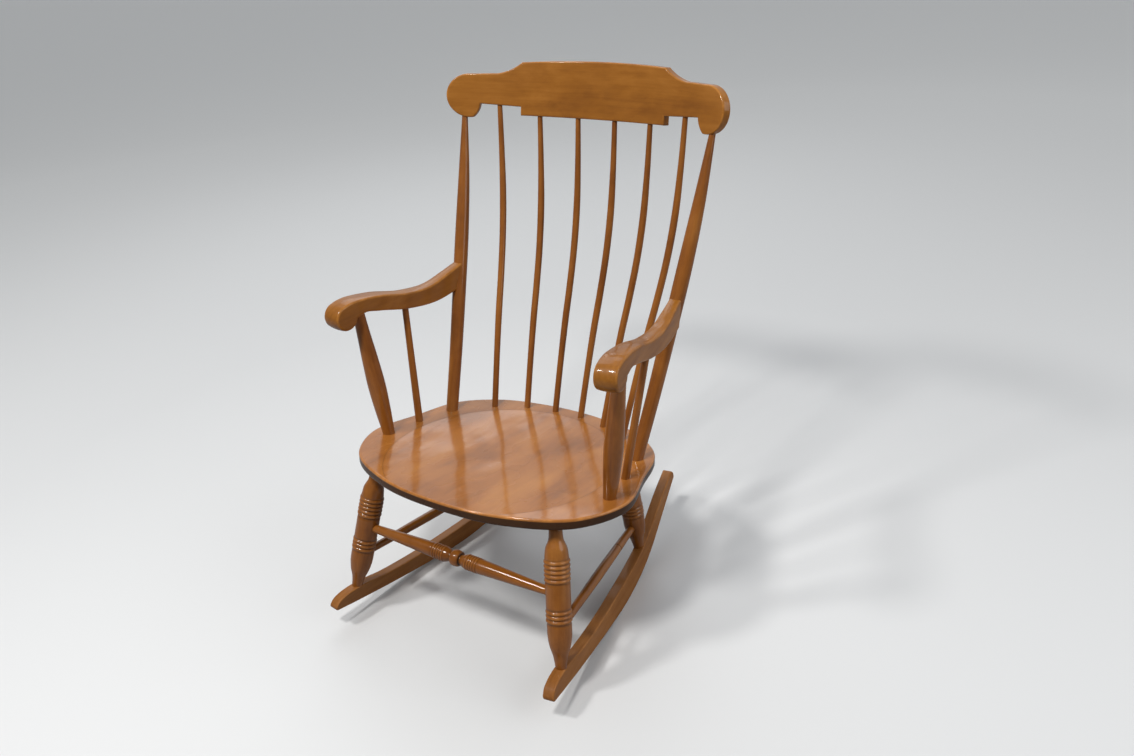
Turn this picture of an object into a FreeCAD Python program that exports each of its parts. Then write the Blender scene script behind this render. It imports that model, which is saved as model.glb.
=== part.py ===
import FreeCAD, Part
import math
import os

# Boston rocking chair, millimetres
# Seen from the front the sitter's left hand is at +X, the front of the seat is toward -Y, up is +Z
# The chair stands on the floor at Z = 0 and is centred over its own footprint

# Seat board, drawn lying flat with its top at zero and then leaned back
seat_lean = 7.4
seat_height = 343.7
seat_thickness = 40.0
seat_half_width = 328.0
seat_front = -320.0
seat_back = 196.0
seat_edge_round = 4.0
seat_edge_depth = 22.0
seat_undercut = 35.0
dish_radius = 250.0
dish_depth = 9.0
dish_centre_y = -95.0

# Clearance of every glued round joint, measured on the radius and at the blind end
glue_gap = 0.3

# Crest rail, a curved board with a raised middle and a round ear at each end
crest_height = 121.5
crest_thickness = 19.0
crest_bow_radius = 720.0
crest_lean = 10.6
crest_bottom_z = 959.0
crest_mid_y = 378.3
crest_top_half = 181.0
crest_crown = 6.0
crest_drop_half = 184.0
crest_drop = 19.0
crest_notch_rise = 3.8
crest_notch_half = 276.0
ear_radius = 48.0
ear_centre_x = 299.5
ear_centre_h = 40.0
scoop_low_half = 240.0
scoop_low_h = 90.0
scoop_hollow_side = 2.0
scoop_hollow_down = 4.0
cheek_round_side = 2.0
cheek_round_down = 3.0

# Outer back posts
post_foot_from_edge = 78.0
post_foot_y = 48.0
post_top_x = 311.0
post_depth_in_crest = 15.0
post_radius = 15.8
post_foot_radius = 14.0
post_top_radius = 6.7
post_tip_radius = 6.0

# Back spindles, evenly spaced, standing on an arc near the back of the seat
spindle_pairs = 3
spindle_foot_pitch = 70.0
spindle_top_pitch = 93.8
spindle_arc_radius = 320.0
spindle_arc_back = 169.0
spindle_depth_in_crest = 16.0
spindle_radius = 7.7
spindle_foot_radius = 7.2
spindle_top_radius = 5.6
back_depth_in_seat = 26.0

# Bent form of the back: share of the height against share of the backward reach
spindle_bend_shares = [(0.17, 0.2), (0.31, 0.375), (0.43, 0.54), (0.56, 0.7), (0.7, 0.83), (0.85, 0.925), (1.0, 1.0)]
post_bend_shares = [(0.2, 0.228), (0.4, 0.44), (0.6, 0.645), (0.8, 0.835), (1.0, 1.0)]

# Arms, flat boards with a rolled hand in front, butted on the back posts
arm_splay = 7.6
arm_joint_beyond_post_foot = 35.0
arm_joint_y = 172.0
arm_front_width = 47.0
arm_rear_width = 26.0
hand_radius = 29.0
hand_reach = 337.0
hand_z = 655.0
arm_top_line = [(301.0, 685.0), (244.0, 674.5), (164.0, 650.0), (90.0, 641.0), (36.0, 650.0)]
arm_under_line = [(288.0, 647.5), (254.0, 638.0), (170.0, 610.0), (83.0, 594.0)]
arm_rear_top = 662.0
arm_rear_bottom = 598.0

# Turned posts and spindles under the arms, standing on the seat
arm_post_behind_hand = 44.0
arm_post_foot_inset = 36.8
arm_post_foot_forward = 10.6
arm_post_foot_radius = 13.8
arm_post_radius = 19.5
arm_post_top_radius = 13.0
arm_spindle_ahead_of_joint = 166.0
arm_spindle_foot_inset = 39.6
arm_spindle_foot_forward = 50.0
arm_spindle_foot_radius = 8.6
arm_spindle_top_radius = 7.2
arm_depth_in_seat = 22.0
arm_depth_in_arm = 14.0

# Legs: feet on the rockers and splay toward the seat, per millimetre of height
front_foot_from_edge = 56.0
front_foot = (seat_half_width - front_foot_from_edge, -323.0, 76.0)
front_leg_slope = (-0.1576, 0.32)
rear_foot_from_edge = 119.0
rear_foot = (seat_half_width - rear_foot_from_edge, 104.0, 53.0)
rear_leg_slope = (-0.08, -0.055)
leg_radius = 24.8
leg_foot_radius = 11.5
leg_neck_radius = 13.5
leg_depth_in_seat = 24.0
leg_depth_in_rocker = 17.0
ring_pitch = 9.2
ring_height = 1.3
front_ring_shares = (0.352, 0.652)
rear_ring_shares = (0.41, 0.66)
lower_rings = 3
upper_rings = 5

# Stretchers
side_stretcher_front_up = 76.0
side_stretcher_rear_up = 64.0
side_stretcher_radius = 10.6
side_stretcher_end_radius = 8.0
front_stretcher_up = 147.0
front_stretcher_radius = 16.0
front_stretcher_end_radius = 8.5
front_ring_pitch = 6.2
front_ring_height = 0.7
front_rings = 5
front_ball_radius = 17.5
front_ball_half = 10.0
rear_stretcher_up = 110.0
rear_stretcher_radius = 10.6
stretcher_depth_in_leg = 15.0

# Rockers
rocker_width = 24.0
rocker_side_lean = 6.8
rocker_contact_y = -10.7
rocker_flat_depth = 0.1
rocker_middle_radius = 600.0
rocker_front_radius = 3400.0
rocker_rear_radius = 480.0
rocker_middle_front = -60.0
rocker_middle_rear = 70.0
rocker_toe = -393.0
rocker_tail_straight = 180.0
rocker_tail = 341.0
rocker_top_line = [(-388.0, 64.0), (-372.0, 72.5), (-346.0, 76.5), (-323.0, 76.0), (-252.0, 62.0),
                   (-160.0, 52.0), (-40.0, 48.5), (40.0, 49.5), (105.0, 55.0), (158.0, 68.0), (199.0, 82.0),
                   (250.0, 98.5)]
rocker_tail_thickness = 22.0
rocker_tail_bulge = 5.0
rocker_toe_bulge = 2.0

# Places that follow the width of the seat
post_foot_x = seat_half_width - post_foot_from_edge
arm_joint_x = post_foot_x + arm_joint_beyond_post_foot

UP = FreeCAD.Vector(0, 0, 1)


def vec(x, y, z):
    return FreeCAD.Vector(x, y, z)


def spline(points):
    curve = Part.BSplineCurve()
    curve.interpolate([vec(*p) for p in points])
    return curve.toShape()


def line(a, b):
    return Part.makeLine(vec(*a), vec(*b))


def arc(a, b, c):
    return Part.Arc(vec(*a), vec(*b), vec(*c)).toShape()


def mirrored(shape):
    return shape.mirror(vec(0, 0, 0), vec(1, 0, 0))


def turned(profile, base, tip):
    """Round turning about the line from base toward tip; profile is (distance, radius)."""
    points = [(0, 0, profile[0][0])]
    points += [(r, 0, d) for d, r in profile]
    points += [(0, 0, profile[-1][0])]
    face = Part.Face(Part.makePolygon([vec(*p) for p in points + [points[0]]]))
    body = face.revolve(vec(0, 0, 0), UP, 360)
    direction = tip - base
    body.Placement = FreeCAD.Placement(base, FreeCAD.Rotation(UP, direction))
    return body


def smooth_profile(nodes, count):
    """Points of a smooth turning through the given (distance, radius) nodes."""
    curve = Part.BSplineCurve()
    curve.interpolate([vec(d, r, 0) for d, r in nodes])
    first = curve.FirstParameter
    last = curve.LastParameter
    points = []
    for i in range(count + 1):
        p = curve.value(first + (last - first) * i / count)
        points.append((p.x, p.y))
    return points


def rod(base, tip, radius, start, end):
    """Plain cylinder on the line from base to tip between two distances from base."""
    direction = (tip - base).normalize()
    return Part.makeCylinder(radius, end - start, base + direction * start, direction)


def bent(centres, radii):
    """Round bar lofted along a bent centre line."""
    wires = []
    for i, centre in enumerate(centres):
        before = centres[max(i - 1, 0)]
        after = centres[min(i + 1, len(centres) - 1)]
        circle = Part.Wire([Part.makeCircle(radii[i])])
        circle.Placement = FreeCAD.Placement(centre, FreeCAD.Rotation(UP, after - before))
        wires.append(circle)
    return Part.makeLoft(wires, True, False)


# Seat
seat_place = FreeCAD.Placement(vec(0, 0, seat_height), FreeCAD.Rotation(vec(1, 0, 0), -seat_lean))


def deck_z(y):
    return seat_height - math.tan(math.radians(seat_lean)) * y


def seat_wire(inset, z):
    length = seat_back - seat_front
    nodes = [(0.0, 0.0), (0.47, 0.035), (0.865, 0.172), (1.0, 0.355), (0.925, 0.585),
             (0.82, 0.802), (0.575, 0.93), (0.25, 0.988), (0.0, 1.0)]
    half = [(x * seat_half_width, seat_front + y * length) for x, y in nodes]
    outline = half + [(-x, y) for x, y in reversed(half[1:-1])]
    centre_y = seat_front + 0.45 * length
    points = []
    for x, y in outline:
        out = vec(x, y - centre_y, 0)
        scale = (out.Length - inset) / out.Length
        points.append(vec(out.x * scale, centre_y + out.y * scale, z))
    curve = Part.BSplineCurve()
    curve.interpolate(points, PeriodicFlag=True)
    return Part.Wire([curve.toShape()])


seat_rows = [(seat_undercut, -seat_thickness), (0.0, -seat_edge_depth),
             (0.0, -seat_edge_round), (seat_edge_round * 0.7, 0.0)]
seat = Part.makeLoft([seat_wire(inset, z) for inset, z in seat_rows], True, True)
dish_sphere_radius = (dish_radius ** 2 + dish_depth ** 2) / (2 * dish_depth)
dish = Part.makeSphere(dish_sphere_radius)
dish.translate(vec(0, dish_centre_y, dish_sphere_radius - dish_depth))
seat = seat.cut(dish)
seat.Placement = seat_place


# Crest rail, drawn upright in front view, cut to its curve and leaned back
def crest_mid(x, h):
    """Middle of the board's thickness at half width x and height h up the board."""
    sag = crest_bow_radius - math.sqrt(crest_bow_radius ** 2 - x ** 2)
    lean = math.radians(crest_lean)
    y = crest_mid_y - sag * math.cos(lean) + h * math.sin(lean)
    z = crest_bottom_z + sag * math.sin(lean) + h * math.cos(lean)
    return vec(x, y, z)


def crest_outline():
    ear_top = (ear_centre_x, 0, ear_centre_h + ear_radius)
    ear_side = (ear_centre_x + ear_radius, 0, ear_centre_h)
    ear_turn = math.radians(-100)
    ear_low = (ear_centre_x + ear_radius * math.cos(ear_turn), 0,
               ear_centre_h + ear_radius * math.sin(ear_turn))
    notch_end = (crest_notch_half, 0, crest_drop + crest_notch_rise)
    ear_cheek = ((ear_low[0] + notch_end[0]) / 2 - cheek_round_side, 0,
                 (ear_low[2] + notch_end[2]) / 2 - cheek_round_down)
    notch_start = (crest_drop_half, 0, crest_drop)
    drop_corner = (crest_drop_half, 0, 0)
    top_corner = (crest_top_half, 0, crest_height - crest_crown)
    top_middle = (0, 0, crest_height)
    scoop_low = (scoop_low_half, 0, scoop_low_h)
    scoop_mid = ((crest_top_half + scoop_low_half) / 2 - scoop_hollow_side, 0,
                 (crest_height - crest_crown + scoop_low_h) / 2 - scoop_hollow_down)
    right = [arc(top_corner, scoop_mid, scoop_low), line(scoop_low, ear_top),
             arc(ear_top, ear_side, ear_low), arc(ear_low, ear_cheek, notch_end),
             line(notch_end, notch_start), line(notch_start, drop_corner)]
    left = [mirrored(edge) for edge in right]
    left_corner = (-top_corner[0], 0, top_corner[2])
    left_drop = (-drop_corner[0], 0, 0)
    closing = [arc(left_corner, top_middle, top_corner), line(left_drop, drop_corner)]
    return Part.Face(Part.Wire(Part.__sortEdges__(right + left + closing)))


crest_board = crest_outline().extrude(vec(0, 2 * crest_bow_radius, 0))
crest_board.translate(vec(0, -crest_bow_radius, 0))
bow_axis = vec(0, -crest_bow_radius, -crest_height)
outer_bow = Part.makeCylinder(crest_bow_radius + crest_thickness / 2, 3 * crest_height, bow_axis)
inner_bow = Part.makeCylinder(crest_bow_radius - crest_thickness / 2, 3 * crest_height, bow_axis)
crest = crest_board.common(outer_bow.cut(inner_bow))
front_half = Part.makeBox(4 * crest_bow_radius, 3 * crest_bow_radius, 6 * crest_height,
                          vec(-2 * crest_bow_radius, -crest_bow_radius, -3 * crest_height))
crest = crest.common(front_half)
crest.Placement = FreeCAD.Placement(vec(0, crest_mid_y, crest_bottom_z),
                                    FreeCAD.Rotation(vec(1, 0, 0), -crest_lean))


# Bent members of the back
def back_line(foot_x, foot_y, top_x, entry_h, depth, bend):
    """Centre line from inside the seat up to inside the crest rail."""
    foot = vec(foot_x, foot_y, deck_z(foot_y))
    entry = crest_mid(top_x, entry_h)
    rise = entry.z - foot.z
    reach = entry.y - foot.y
    points = [foot]
    for up, back in bend:
        x = foot.x + (entry.x - foot.x) * back
        points.append(vec(x, foot.y + reach * back, foot.z + rise * up))
    first = (points[1] - points[0]).normalize()
    last = (points[-1] - points[-2]).normalize()
    inside_crest = crest_mid(top_x, entry_h + depth) - entry
    tip = points[-1] + (last + inside_crest.normalize()).normalize() * depth
    return [foot - first * back_depth_in_seat] + points + [tip]


def grown(radii, gap):
    return [r + gap for r in radii]


def bar_and_socket(centres, radii):
    """The bar and the slightly larger copy that cuts its sockets."""
    bar = bent(centres, radii)
    first = (centres[0] - centres[1]).normalize()
    last = (centres[-1] - centres[-2]).normalize()
    longer = [centres[0] + first * glue_gap] + centres[1:-1] + [centres[-1] + last * glue_gap]
    return bar, bent(longer, grown(radii, glue_gap))


ear_floor = ear_centre_h - ear_radius
post_line = back_line(post_foot_x, post_foot_y, post_top_x, ear_floor, post_depth_in_crest, post_bend_shares)
post_radii = [post_foot_radius, post_foot_radius, (post_foot_radius + post_radius) / 2, post_radius,
              post_radius, (post_radius + post_top_radius) / 2 + 1.5, post_top_radius, post_tip_radius]
back_post, post_cutter = bar_and_socket(post_line, post_radii)

spindles = []
spindle_cutters = []
for pair in range(spindle_pairs):
    foot_x = (pair + 0.5) * spindle_foot_pitch
    foot_y = spindle_arc_back - spindle_arc_radius + math.sqrt(spindle_arc_radius ** 2 - foot_x ** 2)
    top_x = (pair + 0.5) * spindle_top_pitch
    entry_h = 0.0 if top_x < crest_drop_half else crest_drop + crest_notch_rise / 2
    centre_line = back_line(foot_x, foot_y, top_x, entry_h, spindle_depth_in_crest, spindle_bend_shares)
    radii = [spindle_foot_radius] * 3 + [spindle_radius] * 4
    radii += [spindle_radius * 0.85, spindle_top_radius, spindle_top_radius * 0.9]
    bar, cutter = bar_and_socket(centre_line, radii)
    spindles.append(bar)
    spindle_cutters.append(cutter)


# Arms
def arm_point(reach, z):
    """Point on the middle of the left arm, reach being measured forward from the joint."""
    splay = math.radians(arm_splay)
    return vec(arm_joint_x + reach * math.sin(splay), arm_joint_y - reach * math.cos(splay), z)


def post_centre(z):
    """Centre of the back post at a height, from its bent centre line."""
    for low, high in zip(post_line, post_line[1:]):
        if low.z <= z <= high.z:
            share = (z - low.z) / (high.z - low.z)
            return low + (high - low) * share
    return post_line[-1]


def arm_solid():
    rear_top = arm_joint_y - post_centre(arm_rear_top).y
    rear_bottom = arm_joint_y - post_centre(arm_rear_bottom).y
    hand_top = (-hand_reach, hand_z + hand_radius)
    neck_turn = math.radians(-22)
    neck = (-hand_reach + hand_radius * math.cos(neck_turn), hand_z + hand_radius * math.sin(neck_turn))
    over = [(0, hand_top[0], hand_top[1])]
    over += [(0, -reach, z) for reach, z in arm_top_line]
    over += [(0, -rear_top, arm_rear_top)]
    under = [(0, neck[0], neck[1])]
    under += [(0, -reach, z) for reach, z in arm_under_line]
    under += [(0, -rear_bottom, arm_rear_bottom)]
    hand_front = (0, -hand_reach - hand_radius * math.cos(math.radians(45)),
                  hand_z - hand_radius * math.sin(math.radians(45)))
    edges = [spline(over), line(over[-1], under[-1]), spline(under), arc(over[0], hand_front, under[0])]
    side = Part.Face(Part.Wire(Part.__sortEdges__(edges)))
    board = side.extrude(vec(2 * arm_front_width, 0, 0))
    board.translate(vec(-arm_front_width, 0, 0))
    front = -hand_reach - 2 * hand_radius
    rear = -min(rear_top, rear_bottom) + hand_radius
    plan = [vec(-arm_front_width / 2, front, 0), vec(arm_front_width / 2, front, 0),
            vec(arm_front_width / 2, -hand_reach + hand_radius, 0), vec(arm_rear_width / 2, 0, 0),
            vec(arm_rear_width / 2, rear, 0), vec(-arm_rear_width / 2, rear, 0),
            vec(-arm_rear_width / 2, 0, 0), vec(-arm_front_width / 2, -hand_reach + hand_radius, 0)]
    shape_of_plan = Part.Face(Part.makePolygon(plan + [plan[0]])).extrude(vec(0, 0, 2 * hand_z))
    arm = board.common(shape_of_plan)
    arm.Placement = FreeCAD.Placement(vec(arm_joint_x, arm_joint_y, 0),
                                      FreeCAD.Rotation(UP, arm_splay))
    return arm


def under_arm_z(reach):
    """Height of the arm's underside at a reach, between the named points of its lower line."""
    line_points = sorted(arm_under_line)
    for low, high in zip(line_points, line_points[1:]):
        if low[0] <= reach <= high[0]:
            share = (reach - low[0]) / (high[0] - low[0])
            return low[1] + (high[1] - low[1]) * share
    return line_points[-1][1] if reach > line_points[-1][0] else line_points[0][1]


def arm_support(reach, foot_inset, foot_forward, nodes):
    """Turned upright from the seat to the arm; nodes are (share of length, radius)."""
    head = arm_point(reach, under_arm_z(reach))
    below = arm_point(reach + foot_forward, 0)
    foot = vec(below.x - foot_inset, below.y, deck_z(below.y))
    height = (head - foot).Length
    middle = smooth_profile([(share * height, radius) for share, radius in nodes], 24)
    profile = [(-arm_depth_in_seat, nodes[0][1])] + middle + [(height + arm_depth_in_arm, nodes[-1][1])]
    upright = turned(profile, foot, head)
    seat_socket = rod(foot, head, nodes[0][1] + glue_gap, -arm_depth_in_seat - glue_gap, seat_thickness)
    arm_socket = rod(foot, head, nodes[-1][1] + glue_gap, height - 2 * hand_radius,
                     height + arm_depth_in_arm + glue_gap)
    return upright, seat_socket, arm_socket


arm_post_nodes = [(0.0, arm_post_foot_radius), (0.18, arm_post_radius * 0.87), (0.4, arm_post_radius),
                  (0.62, arm_post_radius * 0.9), (0.85, arm_post_radius * 0.71), (1.0, arm_post_top_radius)]
arm_post, arm_post_seat, arm_post_arm = arm_support(
    hand_reach - arm_post_behind_hand, arm_post_foot_inset, arm_post_foot_forward, arm_post_nodes)
arm_spindle_mid_radius = (arm_spindle_foot_radius + arm_spindle_top_radius) / 2
arm_spindle_nodes = [(0.0, arm_spindle_foot_radius), (0.5, arm_spindle_mid_radius), (1.0, arm_spindle_top_radius)]
arm_spindle, arm_spindle_seat, arm_spindle_arm = arm_support(
    arm_spindle_ahead_of_joint, arm_spindle_foot_inset, arm_spindle_foot_forward, arm_spindle_nodes)
arm = arm_solid().cut(post_cutter)
arm = arm.cut(arm_post_arm).cut(arm_spindle_arm)


# Legs
def leg_axis(foot, slope, up):
    """Point on the leg's axis at a distance up the axis from the foot."""
    direction = vec(slope[0], slope[1], 1).normalize()
    return vec(*foot) + direction * up


def seat_under_up(foot, slope):
    """Distance along the leg from its foot to the underside of the seat."""
    direction = vec(slope[0], slope[1], 1).normalize()
    lean = math.radians(seat_lean)
    normal = vec(0, math.sin(lean), math.cos(lean))
    under = vec(0, 0, seat_height) - normal * seat_thickness
    return (under - vec(*foot)).dot(normal) / direction.dot(normal)


def ring_points(start, count, pitch, radius, height):
    """Rounded ridges with a shallow cove between neighbours."""
    ridge = [(-0.42, -0.8), (-0.2, 0.55), (0.0, 1.0), (0.2, 0.55), (0.42, -0.8)]
    points = []
    for i in range(count):
        middle = start + i * pitch
        points += [(middle + along * pitch, radius + out * height) for along, out in ridge]
    return points


def leg_profile(length, ring_shares):
    lower_ring_start = ring_shares[0] * length
    upper_ring_start = ring_shares[1] * length
    swell = lower_ring_start - ring_pitch
    bulge = [(0.0, leg_foot_radius), (0.25 * swell, leg_radius * 0.6), (0.5 * swell, leg_radius * 0.86),
             (0.7 * swell, leg_radius * 0.97), (swell, leg_radius)]
    body = smooth_profile(bulge, 20)
    body += ring_points(lower_ring_start, lower_rings, ring_pitch, leg_radius, ring_height)
    body += [(lower_ring_start + lower_rings * ring_pitch, leg_radius)]
    body += [(upper_ring_start - ring_pitch, leg_radius)]
    body += ring_points(upper_ring_start, upper_rings, ring_pitch, leg_radius, ring_height)
    vase_start = upper_ring_start + upper_rings * ring_pitch - ring_pitch * 0.4
    vase = [(vase_start, leg_radius * 0.98), (vase_start + (length - vase_start) * 0.38, leg_radius * 0.86),
            (vase_start + (length - vase_start) * 0.68, leg_neck_radius * 1.12), (length, leg_neck_radius)]
    return body + smooth_profile(vase, 12)


def leg_and_sockets(foot, slope, ring_shares):
    base = vec(*foot)
    length = seat_under_up(foot, slope)
    tip = leg_axis(foot, slope, length)
    profile = [(-leg_depth_in_rocker, leg_foot_radius)] + leg_profile(length, ring_shares)
    profile += [(length + leg_depth_in_seat, leg_neck_radius)]
    leg = turned(profile, base, tip)
    in_seat = rod(base, tip, leg_neck_radius + glue_gap, length - seat_thickness,
                  length + leg_depth_in_seat + glue_gap)
    in_rocker = rod(base, tip, leg_foot_radius + glue_gap, -leg_depth_in_rocker - glue_gap,
                    2 * leg_depth_in_rocker)
    return leg, in_seat, in_rocker


front_leg, front_leg_seat, front_leg_rocker = leg_and_sockets(
    front_foot, front_leg_slope, front_ring_shares)
rear_leg, rear_leg_seat, rear_leg_rocker = leg_and_sockets(
    rear_foot, rear_leg_slope, rear_ring_shares)


# Stretchers
def stretcher(start, end, nodes):
    """Turned bar between two leg axes; nodes are (share of length, radius)."""
    length = (end - start).Length
    first = leg_radius - stretcher_depth_in_leg
    last = length - first
    span = last - first
    profile = [(first + share * span, radius) for share, radius in nodes]
    bar = turned(profile, start, end)
    return bar, first, last


side_front = leg_axis(front_foot, front_leg_slope, side_stretcher_front_up)
side_rear = leg_axis(rear_foot, rear_leg_slope, side_stretcher_rear_up)
side_nodes = smooth_profile([(0.0, side_stretcher_end_radius), (0.2, side_stretcher_radius * 0.87),
                             (0.5, side_stretcher_radius), (0.8, side_stretcher_radius * 0.87),
                             (1.0, side_stretcher_end_radius)], 24)
side_stretcher, side_first, side_last = stretcher(side_front, side_rear, side_nodes)

front_end = leg_axis(front_foot, front_leg_slope, front_stretcher_up)
front_left_end = vec(-front_end.x, front_end.y, front_end.z)
front_length = (front_end - front_left_end).Length
front_span = front_length - 2 * (leg_radius - stretcher_depth_in_leg)
front_half_length = front_span / 2
ring_inner = 1.7 * front_ball_radius


def front_stretcher_half():
    """Turning of one half, from the ball in the middle out to the end, as (distance, radius)."""
    ball = []
    for angle in (0, 30, 60, 80):
        turn = math.radians(angle)
        ball.append((front_ball_half * math.sin(turn), front_ball_radius * (0.8 + 0.2 * math.cos(turn))))
    neck = [(front_ball_half * 1.1, front_stretcher_radius * 0.66),
            (front_ball_half * 1.4, front_stretcher_radius * 0.62)]
    cone = smooth_profile([(front_ball_half * 1.5, front_stretcher_radius * 0.66),
                           ((front_ball_half + ring_inner) / 2, front_stretcher_radius * 0.84),
                           (ring_inner - front_ring_pitch * 0.6, front_stretcher_radius * 0.95)], 6)
    rings = ring_points(ring_inner, front_rings, front_ring_pitch, front_stretcher_radius,
                        front_ring_height)
    ring_outer = ring_inner + front_rings * front_ring_pitch
    rest = front_half_length - ring_outer
    taper = smooth_profile([(ring_outer, front_stretcher_radius * 0.99),
                            (ring_outer + rest * 0.4, front_stretcher_radius * 0.8),
                            (ring_outer + rest * 0.8, front_stretcher_radius * 0.62),
                            (front_half_length, front_stretcher_end_radius)], 14)
    return ball + neck + cone + rings + taper


half = front_stretcher_half()
whole = [(-d, r) for d, r in reversed(half)] + half[1:]
front_nodes = [((d + front_half_length) / front_span, r) for d, r in whole]
front_stretcher, front_first, front_last = stretcher(front_left_end, front_end, front_nodes)

rear_end = leg_axis(rear_foot, rear_leg_slope, rear_stretcher_up)
rear_left_end = vec(-rear_end.x, rear_end.y, rear_end.z)
rear_nodes = smooth_profile([(0.0, side_stretcher_end_radius), (0.2, rear_stretcher_radius * 0.87),
                             (0.5, rear_stretcher_radius), (0.8, rear_stretcher_radius * 0.87),
                             (1.0, side_stretcher_end_radius)], 24)
rear_stretcher, rear_first, rear_last = stretcher(rear_left_end, rear_end, rear_nodes)


def leg_socket(start, end, near, radius):
    """Blind hole in a leg for a stretcher that starts near the leg's axis."""
    return rod(start, end, radius + glue_gap, near - glue_gap, 2 * leg_radius)


side_socket_radius = 1.12 * side_stretcher_end_radius
front_socket_radius = 1.12 * front_stretcher_end_radius
front_leg = front_leg.cut(leg_socket(side_front, side_rear, side_first, side_socket_radius))
front_leg = front_leg.cut(leg_socket(front_end, front_left_end, front_first, front_socket_radius))
rear_leg = rear_leg.cut(leg_socket(side_rear, side_front, side_first, side_socket_radius))
rear_leg = rear_leg.cut(leg_socket(rear_end, rear_left_end, rear_first, side_socket_radius))


# Rockers, drawn in side view in the leaning plane of the board
def rocker_bottom(y):
    """Height of the rocker's running edge above the floor at a station."""
    if y > rocker_tail_straight:
        return rocker_bottom(rocker_tail_straight) + (y - rocker_tail_straight) * rocker_tail_slope
    middle = rocker_middle_radius
    if rocker_middle_front <= y - rocker_contact_y <= rocker_middle_rear:
        offset = y - rocker_contact_y
        return middle - math.sqrt(middle ** 2 - offset ** 2)
    edge = rocker_middle_front if y < rocker_contact_y else rocker_middle_rear
    radius = rocker_front_radius if y < rocker_contact_y else rocker_rear_radius
    turn = math.asin(edge / middle)
    centre_y = rocker_centre_y(edge, radius)
    centre_z = middle - middle * math.cos(turn) + radius * math.cos(turn)
    return centre_z - math.sqrt(radius ** 2 - (y - centre_y) ** 2)


def rocker_centre_y(join, radius):
    """Station of the centre of an outer arc that goes on smoothly from the middle arc."""
    return rocker_contact_y + join - radius * join / rocker_middle_radius


tail_offset = rocker_tail_straight - rocker_centre_y(rocker_middle_rear, rocker_rear_radius)
rocker_tail_turn = math.asin(tail_offset / rocker_rear_radius)
rocker_tail_slope = math.tan(rocker_tail_turn)


def rocker_arc(y_start, y_end):
    middle = (y_start + y_end) / 2
    return arc((y_start, rocker_bottom(y_start), 0), (middle, rocker_bottom(middle), 0),
               (y_end, rocker_bottom(y_end), 0))


def rocker_solid():
    front_join = rocker_contact_y + rocker_middle_front
    rear_join = rocker_contact_y + rocker_middle_rear
    toe = (rocker_toe, rocker_bottom(rocker_toe), 0)
    tail = (rocker_tail, rocker_bottom(rocker_tail), 0)
    straight = (rocker_tail_straight, rocker_bottom(rocker_tail_straight), 0)
    along_tail = vec(math.cos(rocker_tail_turn), math.sin(rocker_tail_turn), 0)
    up_tail = vec(-along_tail.y, along_tail.x, 0)
    tail_over = vec(*tail) + up_tail * rocker_tail_thickness
    tail_round = vec(*tail) + up_tail * (rocker_tail_thickness / 2) + along_tail * rocker_tail_bulge
    over = [(y, z, 0) for y, z in rocker_top_line] + [tuple(tail_over)]
    toe_round = ((toe[0] + over[0][0]) / 2 - rocker_toe_bulge, (toe[1] + over[0][1]) / 2, 0)
    edges = [rocker_arc(rocker_toe, front_join), rocker_arc(front_join, rear_join),
             rocker_arc(rear_join, rocker_tail_straight), line(straight, tail),
             arc(tail, tail_round, tail_over),
             spline(over), arc(over[0], toe_round, toe)]
    side = Part.Face(Part.Wire(Part.__sortEdges__(edges)))
    lean = math.radians(rocker_side_lean)
    across = vec(0, -math.sin(lean), math.cos(lean)) * rocker_width
    board = side.extrude(across)
    board.translate(across * -0.5)
    stand = FreeCAD.Rotation(vec(0, 1, 0), vec(-math.sin(lean), 0, math.cos(lean)),
                             vec(math.cos(lean), 0, math.sin(lean)), "XYZ")
    board.Placement = FreeCAD.Placement(vec(0, 0, 0), stand)
    run = vec(*rear_foot) - vec(*front_foot)
    toe_in = math.degrees(math.atan2(-run.x, run.y))
    board.rotate(vec(0, 0, 0), UP, toe_in)
    under_foot = vec(-math.tan(lean) * front_foot[2], front_foot[1], 0)
    under_foot = FreeCAD.Rotation(UP, toe_in).multVec(under_foot)
    board.translate(vec(front_foot[0] - under_foot.x, front_foot[1] - under_foot.y, -rocker_flat_depth))
    reach = rocker_tail - rocker_toe
    below_floor = Part.makeBox(4 * reach, 4 * reach, reach, vec(-2 * reach, -2 * reach, -reach))
    return board.cut(below_floor)


rocker = rocker_solid().cut(front_leg_rocker).cut(rear_leg_rocker)

# Cut the sockets in the seat and the crest rail
right_seat_cutters = [front_leg_seat, rear_leg_seat, arm_post_seat, arm_spindle_seat, post_cutter]
right_seat_cutters += spindle_cutters
for cutter in right_seat_cutters:
    seat = seat.cut(cutter).cut(mirrored(cutter))
for cutter in [post_cutter] + spindle_cutters:
    crest = crest.cut(cutter).cut(mirrored(cutter))

parts = {
    "seat": seat,
    "crest_rail": crest,
    "front_stretcher": front_stretcher,
    "rear_stretcher": rear_stretcher,
}
pairs = {
    "back_post": back_post,
    "arm": arm,
    "arm_post": arm_post,
    "arm_spindle": arm_spindle,
    "leg_front": front_leg,
    "leg_rear": rear_leg,
    "side_stretcher": side_stretcher,
    "rocker": rocker,
}
for number, bar in zip(("inner", "middle", "outer"), spindles):
    pairs["back_spindle_" + number] = bar
for name, shape in pairs.items():
    parts[name + "_left"] = shape
    parts[name + "_right"] = mirrored(shape)

# Centre the chair over its footprint
box = Part.makeCompound(list(parts.values())).optimalBoundingBox(False)
centre_y = (box.YMin + box.YMax) / 2
os.makedirs("parts", exist_ok=True)
for name, shape in parts.items():
    shape.translate(vec(0, -centre_y, 0))
    shape.exportStep("parts/" + name + ".step")
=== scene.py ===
import math

import bmesh
import bpy
from mathutils import Matrix, Vector


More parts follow.
